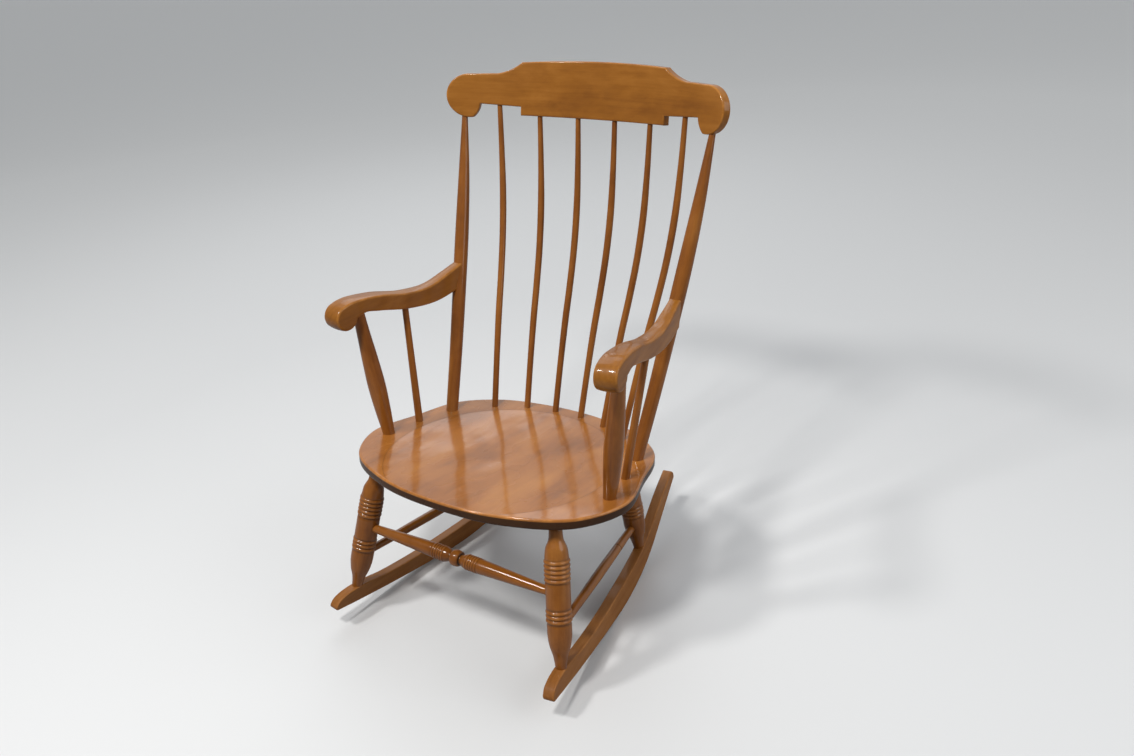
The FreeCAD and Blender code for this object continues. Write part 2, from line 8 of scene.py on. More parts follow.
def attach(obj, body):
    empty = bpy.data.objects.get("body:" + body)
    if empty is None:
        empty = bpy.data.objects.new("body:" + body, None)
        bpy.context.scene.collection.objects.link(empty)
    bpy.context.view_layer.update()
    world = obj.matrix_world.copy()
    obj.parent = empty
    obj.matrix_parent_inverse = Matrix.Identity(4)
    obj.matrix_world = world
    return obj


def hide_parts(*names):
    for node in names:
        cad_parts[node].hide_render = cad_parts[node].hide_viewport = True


# Rocking chair in honey-stained maple
# Lengths are written in millimetres, as on the maker's drawing, and become metres in the meshes
MM = 0.001
BODY = "root"

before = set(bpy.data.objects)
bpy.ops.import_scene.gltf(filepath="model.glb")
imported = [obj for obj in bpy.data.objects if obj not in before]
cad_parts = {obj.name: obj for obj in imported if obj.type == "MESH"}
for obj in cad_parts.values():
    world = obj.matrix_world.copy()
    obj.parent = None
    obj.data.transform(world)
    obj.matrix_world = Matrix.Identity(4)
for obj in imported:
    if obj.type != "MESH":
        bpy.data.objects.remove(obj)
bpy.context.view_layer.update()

# Steps between the places in the wood that the pieces are cut from
GRAIN_STEP = 37.0
GRAIN_PLACES = 97

# The chair is centred over its footprint: the drawing's zero is this far behind the middle
FOOTPRINT_SHIFT = -8.98

# Seat
SEAT_LEAN = 7.4
SEAT_HEIGHT = 343.7
SEAT_THICKNESS = 40.0
SEAT_HALF_WIDTH = 328.0
SEAT_FRONT = -320.0
SEAT_BACK = 196.0
SEAT_EDGE = 22.0
SEAT_UNDERCUT = 35.0
DISH_RADIUS = 250.0
DISH_DEPTH = 9.0
DISH_CENTRE = -95.0
SEAT_ROUND = 4.0
SCRAPE_DEPTH = 0.5
SCRAPE_WAVE = 26.0
# Darkening painted into the seat's skin: painted shade along the dish's crease, and darker stain with
# painted shade on the side and underside, which face down away from the lamps
CREASE_SHADE = 0.55
SIDE_STAIN_AND_SHADE = 0.95
UNDER_STAIN_AND_SHADE = 0.75
SEAT_SIDES = 240
DISH_ROWS = 110
BORDER_ROWS = 12
UNDER_ROWS = 13

# Crest rail
CREST_HEIGHT = 121.5
CREST_THICKNESS = 19.0
CREST_ROUND = 3.5
CREST_BOW = 720.0
CREST_LEAN = 10.6
CREST_BOTTOM = 959.0
CREST_MID = 378.3
CREST_TOP_HALF = 181.0
CREST_CROWN = 6.0
CREST_DROP_HALF = 184.0
CREST_DROP = 19.0
NOTCH_RISE = 3.8
NOTCH_HALF = 276.0
EAR_RADIUS = 48.0
EAR_X = 299.5
EAR_H = 40.0
EAR_TURN = -100
SCOOP_X = 240.0
SCOOP_H = 90.0
SCOOP_HOLLOW = (2.0, 4.0)
CHEEK_ROUND = (2.0, 3.0)


def drawn(x, y, z):
    """A point of the drawing, placed in the chair's frame, still in millimetres."""
    return Vector((x, y + FOOTPRINT_SHIFT, z))


# Meshes

def new_piece(name, verts, faces, grain, edge, stain_and_shade):
    """A smooth mesh in metres that carries its grain coordinates, its edge wear, and its painted shade
    and darker stain.
    """
    mesh = bpy.data.meshes.new(name)
    mesh.from_pydata([v * MM for v in verts], [], faces)
    mesh.validate()
    layer = mesh.attributes.new("grain", "FLOAT_VECTOR", "POINT")
    layer.data.foreach_set("vector", [c * MM for g in grain for c in g])
    worn = mesh.attributes.new("edge", "FLOAT", "POINT")
    worn.data.foreach_set("value", edge)
    deep = mesh.attributes.new("stain_and_shade", "FLOAT", "POINT")
    deep.data.foreach_set("value", stain_and_shade)
    mesh.polygons.foreach_set("use_smooth", [True] * len(mesh.polygons))
    piece = bpy.data.objects.new(name, mesh)
    bpy.context.scene.collection.objects.link(piece)
    return piece


def finish_piece(piece, wood, nodes):
    if not piece.data.materials:
        piece.data.materials.append(wood)
    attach(piece, BODY)
    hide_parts(*nodes)


def smooth_line(points, count):
    """Smooth curve through points of any size, stepped evenly along their chords."""
    at = [0.0]
    for a, b in zip(points, points[1:]):
        at.append(at[-1] + math.dist(a, b))
    slopes = []
    last = len(points) - 1
    for i in range(last + 1):
        before = max(i - 1, 0)
        after = min(i + 1, last)
        if before == i or after == i:
            span = at[after] - at[before]
            slopes.append([(b - a) / span for a, b in zip(points[before], points[after])])
            continue
        h0 = at[i] - at[before]
        h1 = at[after] - at[i]
        slopes.append([((b - a) / h0 * h1 + (c - b) / h1 * h0) / (h0 + h1)
                       for a, b, c in zip(points[before], points[i], points[after])])
    out = []
    k = 0
    for i in range(count + 1):
        want = at[-1] * i / count
        while k < last - 1 and at[k + 1] < want:
            k += 1
        span = at[k + 1] - at[k]
        f = (want - at[k]) / span
        value = []
        for a, b, m0, m1 in zip(points[k], points[k + 1], slopes[k], slopes[k + 1]):
            value.append(a * (1 - f) ** 2 * (1 + 2 * f) + b * f * f * (3 - 2 * f)
                         + span * (m0 * f * (1 - f) ** 2 - m1 * f * f * (1 - f)))
        out.append(tuple(value))
    return out


def rings_to_piece(name, rings):
    """Skin over rings of equal length. A ring is [(point, grain, edge wear, darkening by painted shade
    and stain), ...].
    """
    verts = []
    grain = []
    edge = []
    stain_and_shade = []
    count = len(rings[0])
    for ring in rings:
        for point, fibre, worn, deep in ring:
            verts.append(point)
            grain.append(fibre)
            edge.append(worn)
            stain_and_shade.append(deep)
    faces = []
    for r in range(len(rings) - 1):
        for i in range(count):
            j = (i + 1) % count
            faces.append((r * count + i, r * count + j, (r + 1) * count + j, (r + 1) * count + i))
    for r, order in ((0, -1), (len(rings) - 1, 1)):
        members = list(range(r * count, (r + 1) * count))[::order]
        verts.append(sum((verts[m] for m in members), Vector()) / count)
        grain.append(tuple(sum((Vector(grain[m]) for m in members), Vector()) / count))
        edge.append(edge[members[0]])
        stain_and_shade.append(stain_and_shade[members[0]])
        for i in range(count):
            faces.append((members[i], members[(i + 1) % count], len(verts) - 1))
    return new_piece(name, verts, faces, grain, edge, stain_and_shade)


def turning(name, base, tip, profile, sides=72):
    """Lathe work from base to tip; profile is (distance, radius, edge wear, painted shade in the groove).
    """
    axis = (tip - base).normalized()
    turn = axis.to_track_quat("Z", "Y")
    seed = hash_length(name)
    rings = []
    for distance, radius, worn, deep in profile:
        ring = []
        for i in range(sides):
            angle = 2 * math.pi * i / sides
            flat = Vector((radius * math.cos(angle), radius * math.sin(angle), distance))
            fibre = (flat.x + seed, flat.y + 2 * seed, flat.z + 3 * seed)
            ring.append((base + turn @ flat, fibre, worn, deep))
        rings.append(ring)
    return rings_to_piece(name, rings)


def hash_length(name):
    """A steady offset per piece, so that no two pieces show the same grain."""
    total = 0
    for i, letter in enumerate(name):
        total += (i + 3) * ord(letter)
    return GRAIN_STEP * (total % GRAIN_PLACES)


def bent_bar_tree():
    """Node tree: a round bar of changing thickness along a smooth centre line."""
    tree = bpy.data.node_groups.new("bent bar", "GeometryNodeTree")
    face = tree.interface
    face.new_socket("Centre line", in_out="INPUT", socket_type="NodeSocketGeometry")
    face.new_socket("Steps along", in_out="INPUT", socket_type="NodeSocketInt")
    face.new_socket("Sides around", in_out="INPUT", socket_type="NodeSocketInt")
    face.new_socket("Grain offset", in_out="INPUT", socket_type="NodeSocketFloat")
    face.new_socket("Wood", in_out="INPUT", socket_type="NodeSocketMaterial")
    face.new_socket("Bar", in_out="OUTPUT", socket_type="NodeSocketGeometry")
    link = tree.links.new
    given = tree.nodes.new("NodeGroupInput")
    result = tree.nodes.new("NodeGroupOutput")

    line = tree.nodes.new("GeometryNodeMeshToCurve")
    link(given.outputs["Centre line"], line.inputs["Mesh"])
    smooth = tree.nodes.new("GeometryNodeCurveSplineType")
    smooth.spline_type = "CATMULL_ROM"
    link(line.outputs["Curve"], smooth.inputs["Curve"])
    stepped = tree.nodes.new("GeometryNodeResampleCurve")
    link(smooth.outputs["Curve"], stepped.inputs["Curve"])
    link(given.outputs["Steps along"], stepped.inputs["Count"])

    run = tree.nodes.new("GeometryNodeSplineParameter")
    keep_run = tree.nodes.new("GeometryNodeStoreNamedAttribute")
    keep_run.data_type = "FLOAT"
    keep_run.domain = "POINT"
    keep_run.inputs["Name"].default_value = "run"
    link(stepped.outputs["Curve"], keep_run.inputs["Geometry"])
    link(run.outputs["Length"], keep_run.inputs["Value"])

    section = tree.nodes.new("GeometryNodeCurvePrimitiveCircle")
    section.inputs["Radius"].default_value = 1.0
    link(given.outputs["Sides around"], section.inputs["Resolution"])
    place = tree.nodes.new("GeometryNodeInputPosition")
    keep_round = tree.nodes.new("GeometryNodeStoreNamedAttribute")
    keep_round.data_type = "FLOAT_VECTOR"
    keep_round.domain = "POINT"
    keep_round.inputs["Name"].default_value = "round"
    link(section.outputs["Curve"], keep_round.inputs["Geometry"])
    link(place.outputs["Position"], keep_round.inputs["Value"])

    thickness = tree.nodes.new("GeometryNodeInputNamedAttribute")
    thickness.data_type = "FLOAT"
    thickness.inputs["Name"].default_value = "thickness"
    skin = tree.nodes.new("GeometryNodeCurveToMesh")
    skin.inputs["Fill Caps"].default_value = True
    link(keep_run.outputs["Geometry"], skin.inputs["Curve"])
    link(keep_round.outputs["Geometry"], skin.inputs["Profile Curve"])
    link(thickness.outputs["Attribute"], skin.inputs["Scale"])

    around = tree.nodes.new("GeometryNodeInputNamedAttribute")
    around.data_type = "FLOAT_VECTOR"
    around.inputs["Name"].default_value = "round"
    across_bar = tree.nodes.new("ShaderNodeVectorMath")
    across_bar.operation = "SCALE"
    link(around.outputs["Attribute"], across_bar.inputs["Vector"])
    link(thickness.outputs["Attribute"], across_bar.inputs["Scale"])
    along = tree.nodes.new("GeometryNodeInputNamedAttribute")
    along.data_type = "FLOAT"
    along.inputs["Name"].default_value = "run"
    lengthwise = tree.nodes.new("ShaderNodeCombineXYZ")
    link(along.outputs["Attribute"], lengthwise.inputs["Z"])
    together = tree.nodes.new("ShaderNodeVectorMath")
    together.operation = "ADD"
    link(across_bar.outputs["Vector"], together.inputs[0])
    link(lengthwise.outputs["Vector"], together.inputs[1])
    moved = tree.nodes.new("ShaderNodeVectorMath")
    moved.operation = "ADD"
    link(together.outputs["Vector"], moved.inputs[0])
    link(given.outputs["Grain offset"], moved.inputs[1])
    grain = tree.nodes.new("GeometryNodeStoreNamedAttribute")
    grain.data_type = "FLOAT_VECTOR"
    grain.domain = "POINT"
    grain.inputs["Name"].default_value = "grain"
    link(skin.outputs["Mesh"], grain.inputs["Geometry"])
    link(moved.outputs["Vector"], grain.inputs["Value"])

    polished = tree.nodes.new("GeometryNodeSetShadeSmooth")
    link(grain.outputs["Geometry"], polished.inputs["Geometry"])
    solid = tree.nodes.new("GeometryNodeRealizeInstances")
    link(polished.outputs["Geometry"], solid.inputs["Geometry"])
    stained = tree.nodes.new("GeometryNodeSetMaterial")
    link(solid.outputs["Geometry"], stained.inputs["Geometry"])
    link(given.outputs["Wood"], stained.inputs["Material"])
    link(stained.outputs["Geometry"], result.inputs["Bar"])
    return tree


def socket_name(tree, label):
    for item in tree.interface.items_tree:
        if item.item_type == "SOCKET" and item.in_out == "INPUT" and item.name == label:
            return item.identifier
    raise KeyError(label)


def bent_bar(name, centres, radii, wood, sides=36, steps=120):
    """Round bar along a bent centre line, made by the node tree and kept as a plain mesh."""
    mesh = bpy.data.meshes.new(name + "_line")
    mesh.from_pydata([c * MM for c in centres], [(i, i + 1) for i in range(len(centres) - 1)], [])
    thickness = mesh.attributes.new("thickness", "FLOAT", "POINT")
    thickness.data.foreach_set("value", [r * MM for r in radii])
    line = bpy.data.objects.new(name + "_line", mesh)
    bpy.context.scene.collection.objects.link(line)
    bend = line.modifiers.new("bent bar", "NODES")
    bend.node_group = BENT_BAR
    bend[socket_name(BENT_BAR, "Steps along")] = steps
    bend[socket_name(BENT_BAR, "Sides around")] = sides
    bend[socket_name(BENT_BAR, "Grain offset")] = hash_length(name) * MM
    bend[socket_name(BENT_BAR, "Wood")] = wood
    seen = line.evaluated_get(bpy.context.evaluated_depsgraph_get())
    skin = bpy.data.meshes.new_from_object(seen)
    skin.name = name
    outward(skin)
    piece = bpy.data.objects.new(name, skin)
    bpy.context.scene.collection.objects.link(piece)
    bpy.data.objects.remove(line)
    return piece


def outward(mesh):
    """Faces of a closed mesh turned to point outward."""
    work = bmesh.new()
    work.from_mesh(mesh)
    bmesh.ops.recalc_face_normals(work, faces=work.faces[:])
    work.to_mesh(mesh)
    work.free()


BENT_BAR = bent_bar_tree()


def offset_outline(outline, amount):
    """Closed outline moved inward by amount, corner by corner."""
    count = len(outline)
    moved = []
    for i in range(count):
        a = Vector(outline[i - 1])
        b = Vector(outline[i])
        c = Vector(outline[(i + 1) % count])
        first = (b - a).normalized()
        second = (c - b).normalized()
        inward = Vector((-first.y - second.y, first.x + second.x))
        length = inward.length
        if length < 0.2:
            moved.append(tuple(b))
            continue
        inward /= length
        spread = max(0.5, length / 2)
        moved.append(tuple(b + inward * (amount / spread)))
    return moved


# Steps round a board's edge and across its narrow face, and the flat loop that keeps its wide face flat
BEVEL_STEPS = 5
CROWN_STEPS = 6
HOLDING_LOOP = 1.2


def slab(name, outline, half_thickness, rounding, crown, place, fibre, slice_step):
    """Board with rounded edges. The outline runs anticlockwise in (u, v).

    half_thickness(u, v) is half the board's thickness there, crown is how far the narrow face swells
    in its middle, place(u, v, w) bends the flat board into its real form, and fibre(u, v, w) gives
    the grain coordinates.
    """
    seed = hash_length(name)
    mesh = bmesh.new()
    edge_mark = mesh.verts.layers.float.new("edge")
    side_mark = mesh.verts.layers.float.new("side")
    turns = [math.radians(90 * k / BEVEL_STEPS) for k in range(BEVEL_STEPS + 1)]
    bevel = [(rounding * (1 - math.sin(a)), rounding * (1 - math.cos(a)), math.sin(2 * a)) for a in turns]
    bevel.insert(0, (rounding + HOLDING_LOOP, 0.0, 0.0))
    across_face = [k / CROWN_STEPS for k in range(1 - CROWN_STEPS, CROWN_STEPS)]
    levels = [(-1, crown + inset, sink, worn) for inset, sink, worn in bevel]
    levels += [(side, crown * side ** 2, rounding, 0.0) for side in across_face]
    levels += [(1, crown + inset, sink, worn) for inset, sink, worn in reversed(bevel)]
    rings = []
    for side, inset, sink, worn in levels:
        ring = []
        for u, v in offset_outline(outline, inset):
            vert = mesh.verts.new((u, v, side))
            vert[edge_mark] = worn
            vert[side_mark] = sink
            ring.append(vert)
        rings.append(ring)
    count = len(outline)
    for r in range(len(rings) - 1):
        for i in range(count):
            j = (i + 1) % count
            mesh.faces.new((rings[r][i], rings[r][j], rings[r + 1][j], rings[r + 1][i]))
    mesh.faces.new(list(reversed(rings[0])))
    mesh.faces.new(rings[-1])
    station = min(u for u, v in outline) + slice_step
    high = max(u for u, v in outline)
    while station < high - slice_step / 2:
        everything = mesh.verts[:] + mesh.edges[:] + mesh.faces[:]
        bmesh.ops.bisect_plane(mesh, geom=everything, plane_co=(station, 0, 0),
                               plane_no=(1, 0, 0), dist=0.0001)
        station += slice_step
    bmesh.ops.triangulate(mesh, faces=[f for f in mesh.faces if len(f.verts) > 4])
    verts = []
    grain = []
    edge = []
    for i, vert in enumerate(mesh.verts):
        vert.index = i
        u, v, side = vert.co
        half = half_thickness(u, v)
        w = side * (half - vert[side_mark])
        verts.append(place(u, v, w))
        g = fibre(u, v, w)
        grain.append((g[0] + seed, g[1] + 2 * seed, g[2] + 3 * seed))
        edge.append(vert[edge_mark])
    faces = [[v.index for v in f.verts] for f in mesh.faces]
    mesh.free()
    return new_piece(name, verts, faces, grain, edge, [0.0] * len(verts))


def arc_points(centre, radius, start, end, count):
    """Points on an arc, angles in degrees."""
    points = []
    for i in range(count + 1):
        angle = math.radians(start + (end - start) * i / count)
        points.append((centre[0] + radius * math.cos(angle), centre[1] + radius * math.sin(angle)))
    return points


def arc_through(a, b, c, count):
    """Points on the arc from a through b to c, ends included."""
    ax, ay = a
    bx, by = b
    cx, cy = c
    double_area = 2 * (ax * (by - cy) + bx * (cy - ay) + cx * (ay - by))
    aa = ax * ax + ay * ay
    bb = bx * bx + by * by
    cc = cx * cx + cy * cy
    middle_x = (aa * (by - cy) + bb * (cy - ay) + cc * (ay - by)) / double_area
    middle_y = (aa * (cx - bx) + bb * (ax - cx) + cc * (bx - ax)) / double_area
    radius = math.hypot(ax - middle_x, ay - middle_y)
    start, via, end = [math.atan2(y - middle_y, x - middle_x) for x, y in (a, b, c)]
    if (via - start) % (2 * math.pi) > (end - start) % (2 * math.pi):
        sweep = -((start - end) % (2 * math.pi))
    else:
        sweep = (end - start) % (2 * math.pi)
    points = []
    for i in range(count + 1):
        angle = start + sweep * i / count
        points.append((middle_x + radius * math.cos(angle), middle_y + radius * math.sin(angle)))
    return points


def both_sides(make):
    """Makes a piece for the sitter's left (+X) and its mirror twin for the right."""
    make("left", 1)
    make("right", -1)


def across(point, side):
    return Vector((point.x * side, point.y, point.z))


# Wood

def noise(tree, vector, scale, detail, roughness, distortion=0.0):
    node = tree.nodes.new("ShaderNodeTexNoise")
    node.inputs["Scale"].default_value = scale
    node.inputs["Detail"].default_value = detail
    node.inputs["Roughness"].default_value = roughness
    node.inputs["Distortion"].default_value = distortion
    tree.links.new(vector, node.inputs["Vector"])
    return node.outputs["Fac"]


def stretched(tree, vector, scale):
    node = tree.nodes.new("ShaderNodeMapping")
    node.inputs["Scale"].default_value = scale
    tree.links.new(vector, node.inputs["Vector"])
    return node.outputs["Vector"]


def remapped(tree, value, low, high, out_low, out_high):
    node = tree.nodes.new("ShaderNodeMapRange")
    node.inputs["From Min"].default_value = low
    node.inputs["From Max"].default_value = high
    node.inputs["To Min"].default_value = out_low
    node.inputs["To Max"].default_value = out_high
    tree.links.new(value, node.inputs["Value"])
    return node.outputs["Result"]


def combined(tree, operation, a, b):
    node = tree.nodes.new("ShaderNodeMath")
    node.operation = operation
    for socket, value in zip(node.inputs, (a, b)):
        if isinstance(value, (int, float)):
            socket.default_value = value
        else:
            tree.links.new(value, socket)
    return node.outputs["Value"]


def tinted(tree, factor, a, b):
    """Colour a turning into colour b as the factor rises."""
    node = tree.nodes.new("ShaderNodeMix")
    node.data_type = "RGBA"
    colours = [s for s in node.inputs if s.type == "RGBA"]
    tree.links.new(factor, node.inputs["Factor"])
    for socket, value in zip(colours, (a, b)):
        if isinstance(value, tuple):
            socket.default_value = value + (1.0,)
        else:
            tree.links.new(value, socket)
    return [s for s in node.outputs if s.type == "RGBA"][0]


def marked(tree, name):
    """What new_piece stored on the mesh under this name."""
    node = tree.nodes.new("ShaderNodeAttribute")
    node.attribute_name = name
    return node


# How finely each pattern repeats per metre: twice across the grain, then along it
CLOUD_GRAIN = (11, 11, 5)
RING_GRAIN = (30, 30, 1.6)
STREAK_GRAIN = (150, 150, 7)
PORE_GRAIN = (900, 900, 40)
BLOTCH_GRAIN = (34, 34, 20)
RUBBED_GRAIN = (60, 60, 28)
SHEEN_GRAIN = (14, 14, 10)
WAVE_GRAIN = (30, 30, 12)
# Dark colour for painted shade in grooves and along the seat's crease, and for darker stain with painted
# shade on the seat's side and underside
DARK_STAIN_AND_SHADE = (0.022, 0.010, 0.005)


def growth_rings(tree, along):
    node = tree.nodes.new("ShaderNodeTexWave")
    node.wave_type = "RINGS"
    node.rings_direction = "Z"
    node.inputs["Scale"].default_value = 0.9
    node.inputs["Distortion"].default_value = 4.0
    node.inputs["Detail"].default_value = 3.0
    node.inputs["Detail Scale"].default_value = 1.4
    tree.links.new(stretched(tree, along, RING_GRAIN), node.inputs["Vector"])
    return node.outputs["Fac"]


def stain_tone(tree, along, streaks, figure, streak):
    """How much stain the wood took: clouds, growth rings, streaks and blotches."""
    cloud = noise(tree, stretched(tree, along, CLOUD_GRAIN), 1.0, 4.0, 0.6, 0.5)
    blotch = noise(tree, stretched(tree, along, BLOTCH_GRAIN), 1.0, 5.0, 0.65)
    tone = combined(tree, "MULTIPLY", cloud, 0.78 - streak)
    for pattern, share in ((growth_rings(tree, along), figure), (streaks, streak), (blotch, 0.18)):
        tone = combined(tree, "ADD", tone, combined(tree, "MULTIPLY", pattern, share))
    return tone


def three_colours(tree, tone, deep, body, pale):
    ramp = tree.nodes.new("ShaderNodeValToRGB")
    ramp.color_ramp.elements[0].position = 0.32
    ramp.color_ramp.elements[0].color = deep + (1.0,)
    ramp.color_ramp.elements[1].position = 0.70
    ramp.color_ramp.elements[1].color = pale + (1.0,)
    middle = ramp.color_ramp.elements.new(0.50)
    middle.color = body + (1.0,)
    tree.links.new(tone, ramp.inputs["Fac"])
    return ramp.outputs["Color"]


def scratched(tree, along, rubbed, colour, bright, scratches):
    """Short scratches in the stain, each (x, y, turn, length, width) in the grain coordinates."""
    for middle_x, middle_y, turn, length, width in scratches:
        scratch = tree.nodes.new("ShaderNodeMapping")
        scratch.vector_type = "TEXTURE"
        scratch.inputs["Location"].default_value = (middle_x * MM, 0, middle_y * MM)
        scratch.inputs["Rotation"].default_value = (0, math.radians(turn), 0)
        scratch.inputs["Scale"].default_value = (length * MM / 2, 10.0, width * MM / 2)
        tree.links.new(along, scratch.inputs["Vector"])
        reach = tree.nodes.new("ShaderNodeVectorMath")
        reach.operation = "LENGTH"
        tree.links.new(scratch.outputs["Vector"], reach.inputs[0])
        mark = remapped(tree, reach.outputs["Value"], 0.5, 1.1, 0.8, 0.0)
        colour = tinted(tree, combined(tree, "MULTIPLY", mark, rubbed), colour, bright)
    return colour


def stained_maple(name, deep, body, pale, figure, streak, gloss, lacquer, scratches=()):
    """Honey-stained maple under lacquer, rubbed pale at its edges and darkened with painted shade and
    stain where the mesh marks it. The grain runs along Z.
    """
    material = bpy.data.materials.new(name)
    material.use_nodes = True
    tree = material.node_tree
    shader = tree.nodes["Principled BSDF"]
    along = marked(tree, "grain").outputs["Vector"]
    edge = marked(tree, "edge").outputs["Fac"]
    stain_and_shade = marked(tree, "stain_and_shade").outputs["Fac"]

    streaks = noise(tree, stretched(tree, along, STREAK_GRAIN), 1.0, 5.0, 0.6, 0.3)
    fine = noise(tree, stretched(tree, along, PORE_GRAIN), 1.0, 3.0, 0.6)
    tone = stain_tone(tree, along, streaks, figure, streak)
    pores = combined(tree, "MULTIPLY", remapped(tree, fine, 0.30, 0.46, 0.72, 0.0), 0.30)
    colour = tinted(tree, pores, three_colours(tree, tone, deep, body, pale), deep)

    rubbed = noise(tree, stretched(tree, along, RUBBED_GRAIN), 1.0, 4.0, 0.65)
    rubbed = remapped(tree, rubbed, 0.42, 0.62, 0.15, 1.0)
    worn = combined(tree, "MULTIPLY", combined(tree, "MULTIPLY", edge, rubbed), 0.40)
    bright = tuple(min(1.0, c * 1.5) for c in pale)
    colour = tinted(tree, worn, colour, bright)
    colour = scratched(tree, along, rubbed, colour, bright, scratches)
    # Darkened towards the dark colour: painted shade in grooves and along the seat's crease, darker stain
    # with painted shade on the seat's side and underside
    colour = tinted(tree, combined(tree, "MULTIPLY", stain_and_shade, 0.95), colour, DARK_STAIN_AND_SHADE)
    tree.links.new(colour, shader.inputs["Base Color"])

    sheen_patch = noise(tree, stretched(tree, along, SHEEN_GRAIN), 1.0, 3.0, 0.5)
    rough = remapped(tree, sheen_patch, 0.3, 0.7, gloss, gloss + 0.10)
    rough = combined(tree, "ADD", rough, combined(tree, "MULTIPLY", worn, 0.35))
    tree.links.new(rough, shader.inputs["Roughness"])
    shader.inputs["Specular IOR Level"].default_value = 0.14
    tree.links.new(remapped(tree, stain_and_shade, 0.0, 1.0, lacquer, 0.08), shader.inputs["Coat Weight"])
    shader.inputs["Coat Roughness"].default_value = 0.09

    waviness = noise(tree, stretched(tree, along, WAVE_GRAIN), 1.0, 2.0, 0.4)
    relief = combined(tree, "ADD", waviness, combined(tree, "MULTIPLY", streaks, 0.08))
    relief = combined(tree, "ADD", relief, combined(tree, "MULTIPLY", fine, 0.02))
    bump = tree.nodes.new("ShaderNodeBump")
    bump.inputs["Strength"].default_value = 0.5
    bump.inputs["Distance"].default_value = 0.001
    tree.links.new(relief, bump.inputs["Height"])
    tree.links.new(bump.outputs["Normal"], shader.inputs["Normal"])
    tree.links.new(bump.outputs["Normal"], shader.inputs["Coat Normal"])
    return material


SEAT_NAME = "seat_board"
SEAT_GRAIN = hash_length(SEAT_NAME)
SEAT_SCRATCHES = [(252 + SEAT_GRAIN, -66 + 3 * SEAT_GRAIN, 25, 15, 1.8),
                  (249 + SEAT_GRAIN, -61 + 3 * SEAT_GRAIN, -10, 8, 1.4)]
SEAT_WOOD = stained_maple("honey maple seat board", (0.225, 0.075, 0.013), (0.360, 0.130, 0.023),
                          (0.460, 0.186, 0.038), 0.02, 0.10, 0.22, 0.80, SEAT_SCRATCHES)
TURNED_WOOD = stained_maple("honey maple turnings", (0.140, 0.040, 0.005), (0.255, 0.085, 0.012),
                            (0.370, 0.145, 0.026), 0.03, 0.22, 0.28, 0.60)
SHAPED_WOOD = stained_maple("honey maple shaped boards", (0.175, 0.058, 0.007), (0.280, 0.104, 0.013),
                            (0.390, 0.158, 0.027), 0.03, 0.20, 0.34, 0.40)
RUNNER_WOOD = stained_maple("honey maple runners", (0.180, 0.062, 0.012), (0.275, 0.106, 0.024),
                            (0.370, 0.156, 0.044), 0.04, 0.24, 0.42, 0.16)


# Seat board
seat_turn = Matrix.Rotation(math.radians(-SEAT_LEAN), 3, "X")


def deck_z(y):
    return SEAT_HEIGHT - math.tan(math.radians(SEAT_LEAN)) * y


def on_seat(x, y, z):
    """Point given on the flat board, turned to the seat's lean."""
    point = seat_turn @ Vector((x, y, z))
    return drawn(point.x, point.y, point.z + SEAT_HEIGHT)


def seat_outline(count):
    """Plan of the board: a smooth closed line, stepped evenly."""
    length = SEAT_BACK - SEAT_FRONT
    nodes = [(0.0, 0.0), (0.47, 0.035), (0.865, 0.172), (1.0, 0.355), (0.925, 0.585),
             (0.82, 0.802), (0.575, 0.93), (0.25, 0.988), (0.0, 1.0)]
    half = [(x * SEAT_HALF_WIDTH, SEAT_FRONT + y * length) for x, y in nodes]
    loop = half + [(-x, y) for x, y in reversed(half[1:-1])]
    dense = smooth_line(loop[-2:] + loop + loop[:3], 60 * (len(loop) + 4))
    first = min(range(len(dense) // 2), key=lambda i: math.dist(dense[i], loop[0]))
    again = min(range(len(dense) // 2, len(dense)), key=lambda i: math.dist(dense[i], loop[0]))
    dense = dense[first:again]
    total = [0.0]
    for a, b in zip(dense, dense[1:] + dense[:1]):
        total.append(total[-1] + math.dist(a, b))
    points = []
    k = 0
    for i in range(count):
        want = total[-1] * i / count
        while total[k + 1] < want:
            k += 1
        share = (want - total[k]) / (total[k + 1] - total[k])
        a = dense[k]
        b = dense[(k + 1) % len(dense)]
        points.append((a[0] + (b[0] - a[0]) * share, a[1] + (b[1] - a[1]) * share))
    return points


def dish_depth(x, y):
    """Depth of the dish: a shallow bowl with a crisp shoulder, over a slightly wavy scraped face."""
    reach = math.hypot(x, y - DISH_CENTRE)
    bowl_radius = (DISH_RADIUS ** 2 + DISH_DEPTH ** 2) / (2 * DISH_DEPTH)
    if reach > DISH_RADIUS:
        return 0.0
    bowl = math.sqrt(bowl_radius ** 2 - reach ** 2) - (bowl_radius - DISH_DEPTH)
    inside = 1 - (reach / DISH_RADIUS) ** 2
    scrape = math.sin(x / SCRAPE_WAVE + 1.1 * math.sin(y / 41)) + 0.8 * math.sin(x / 17 + y / 23 + 2.0)
    return bowl + SCRAPE_DEPTH * inside * scrape


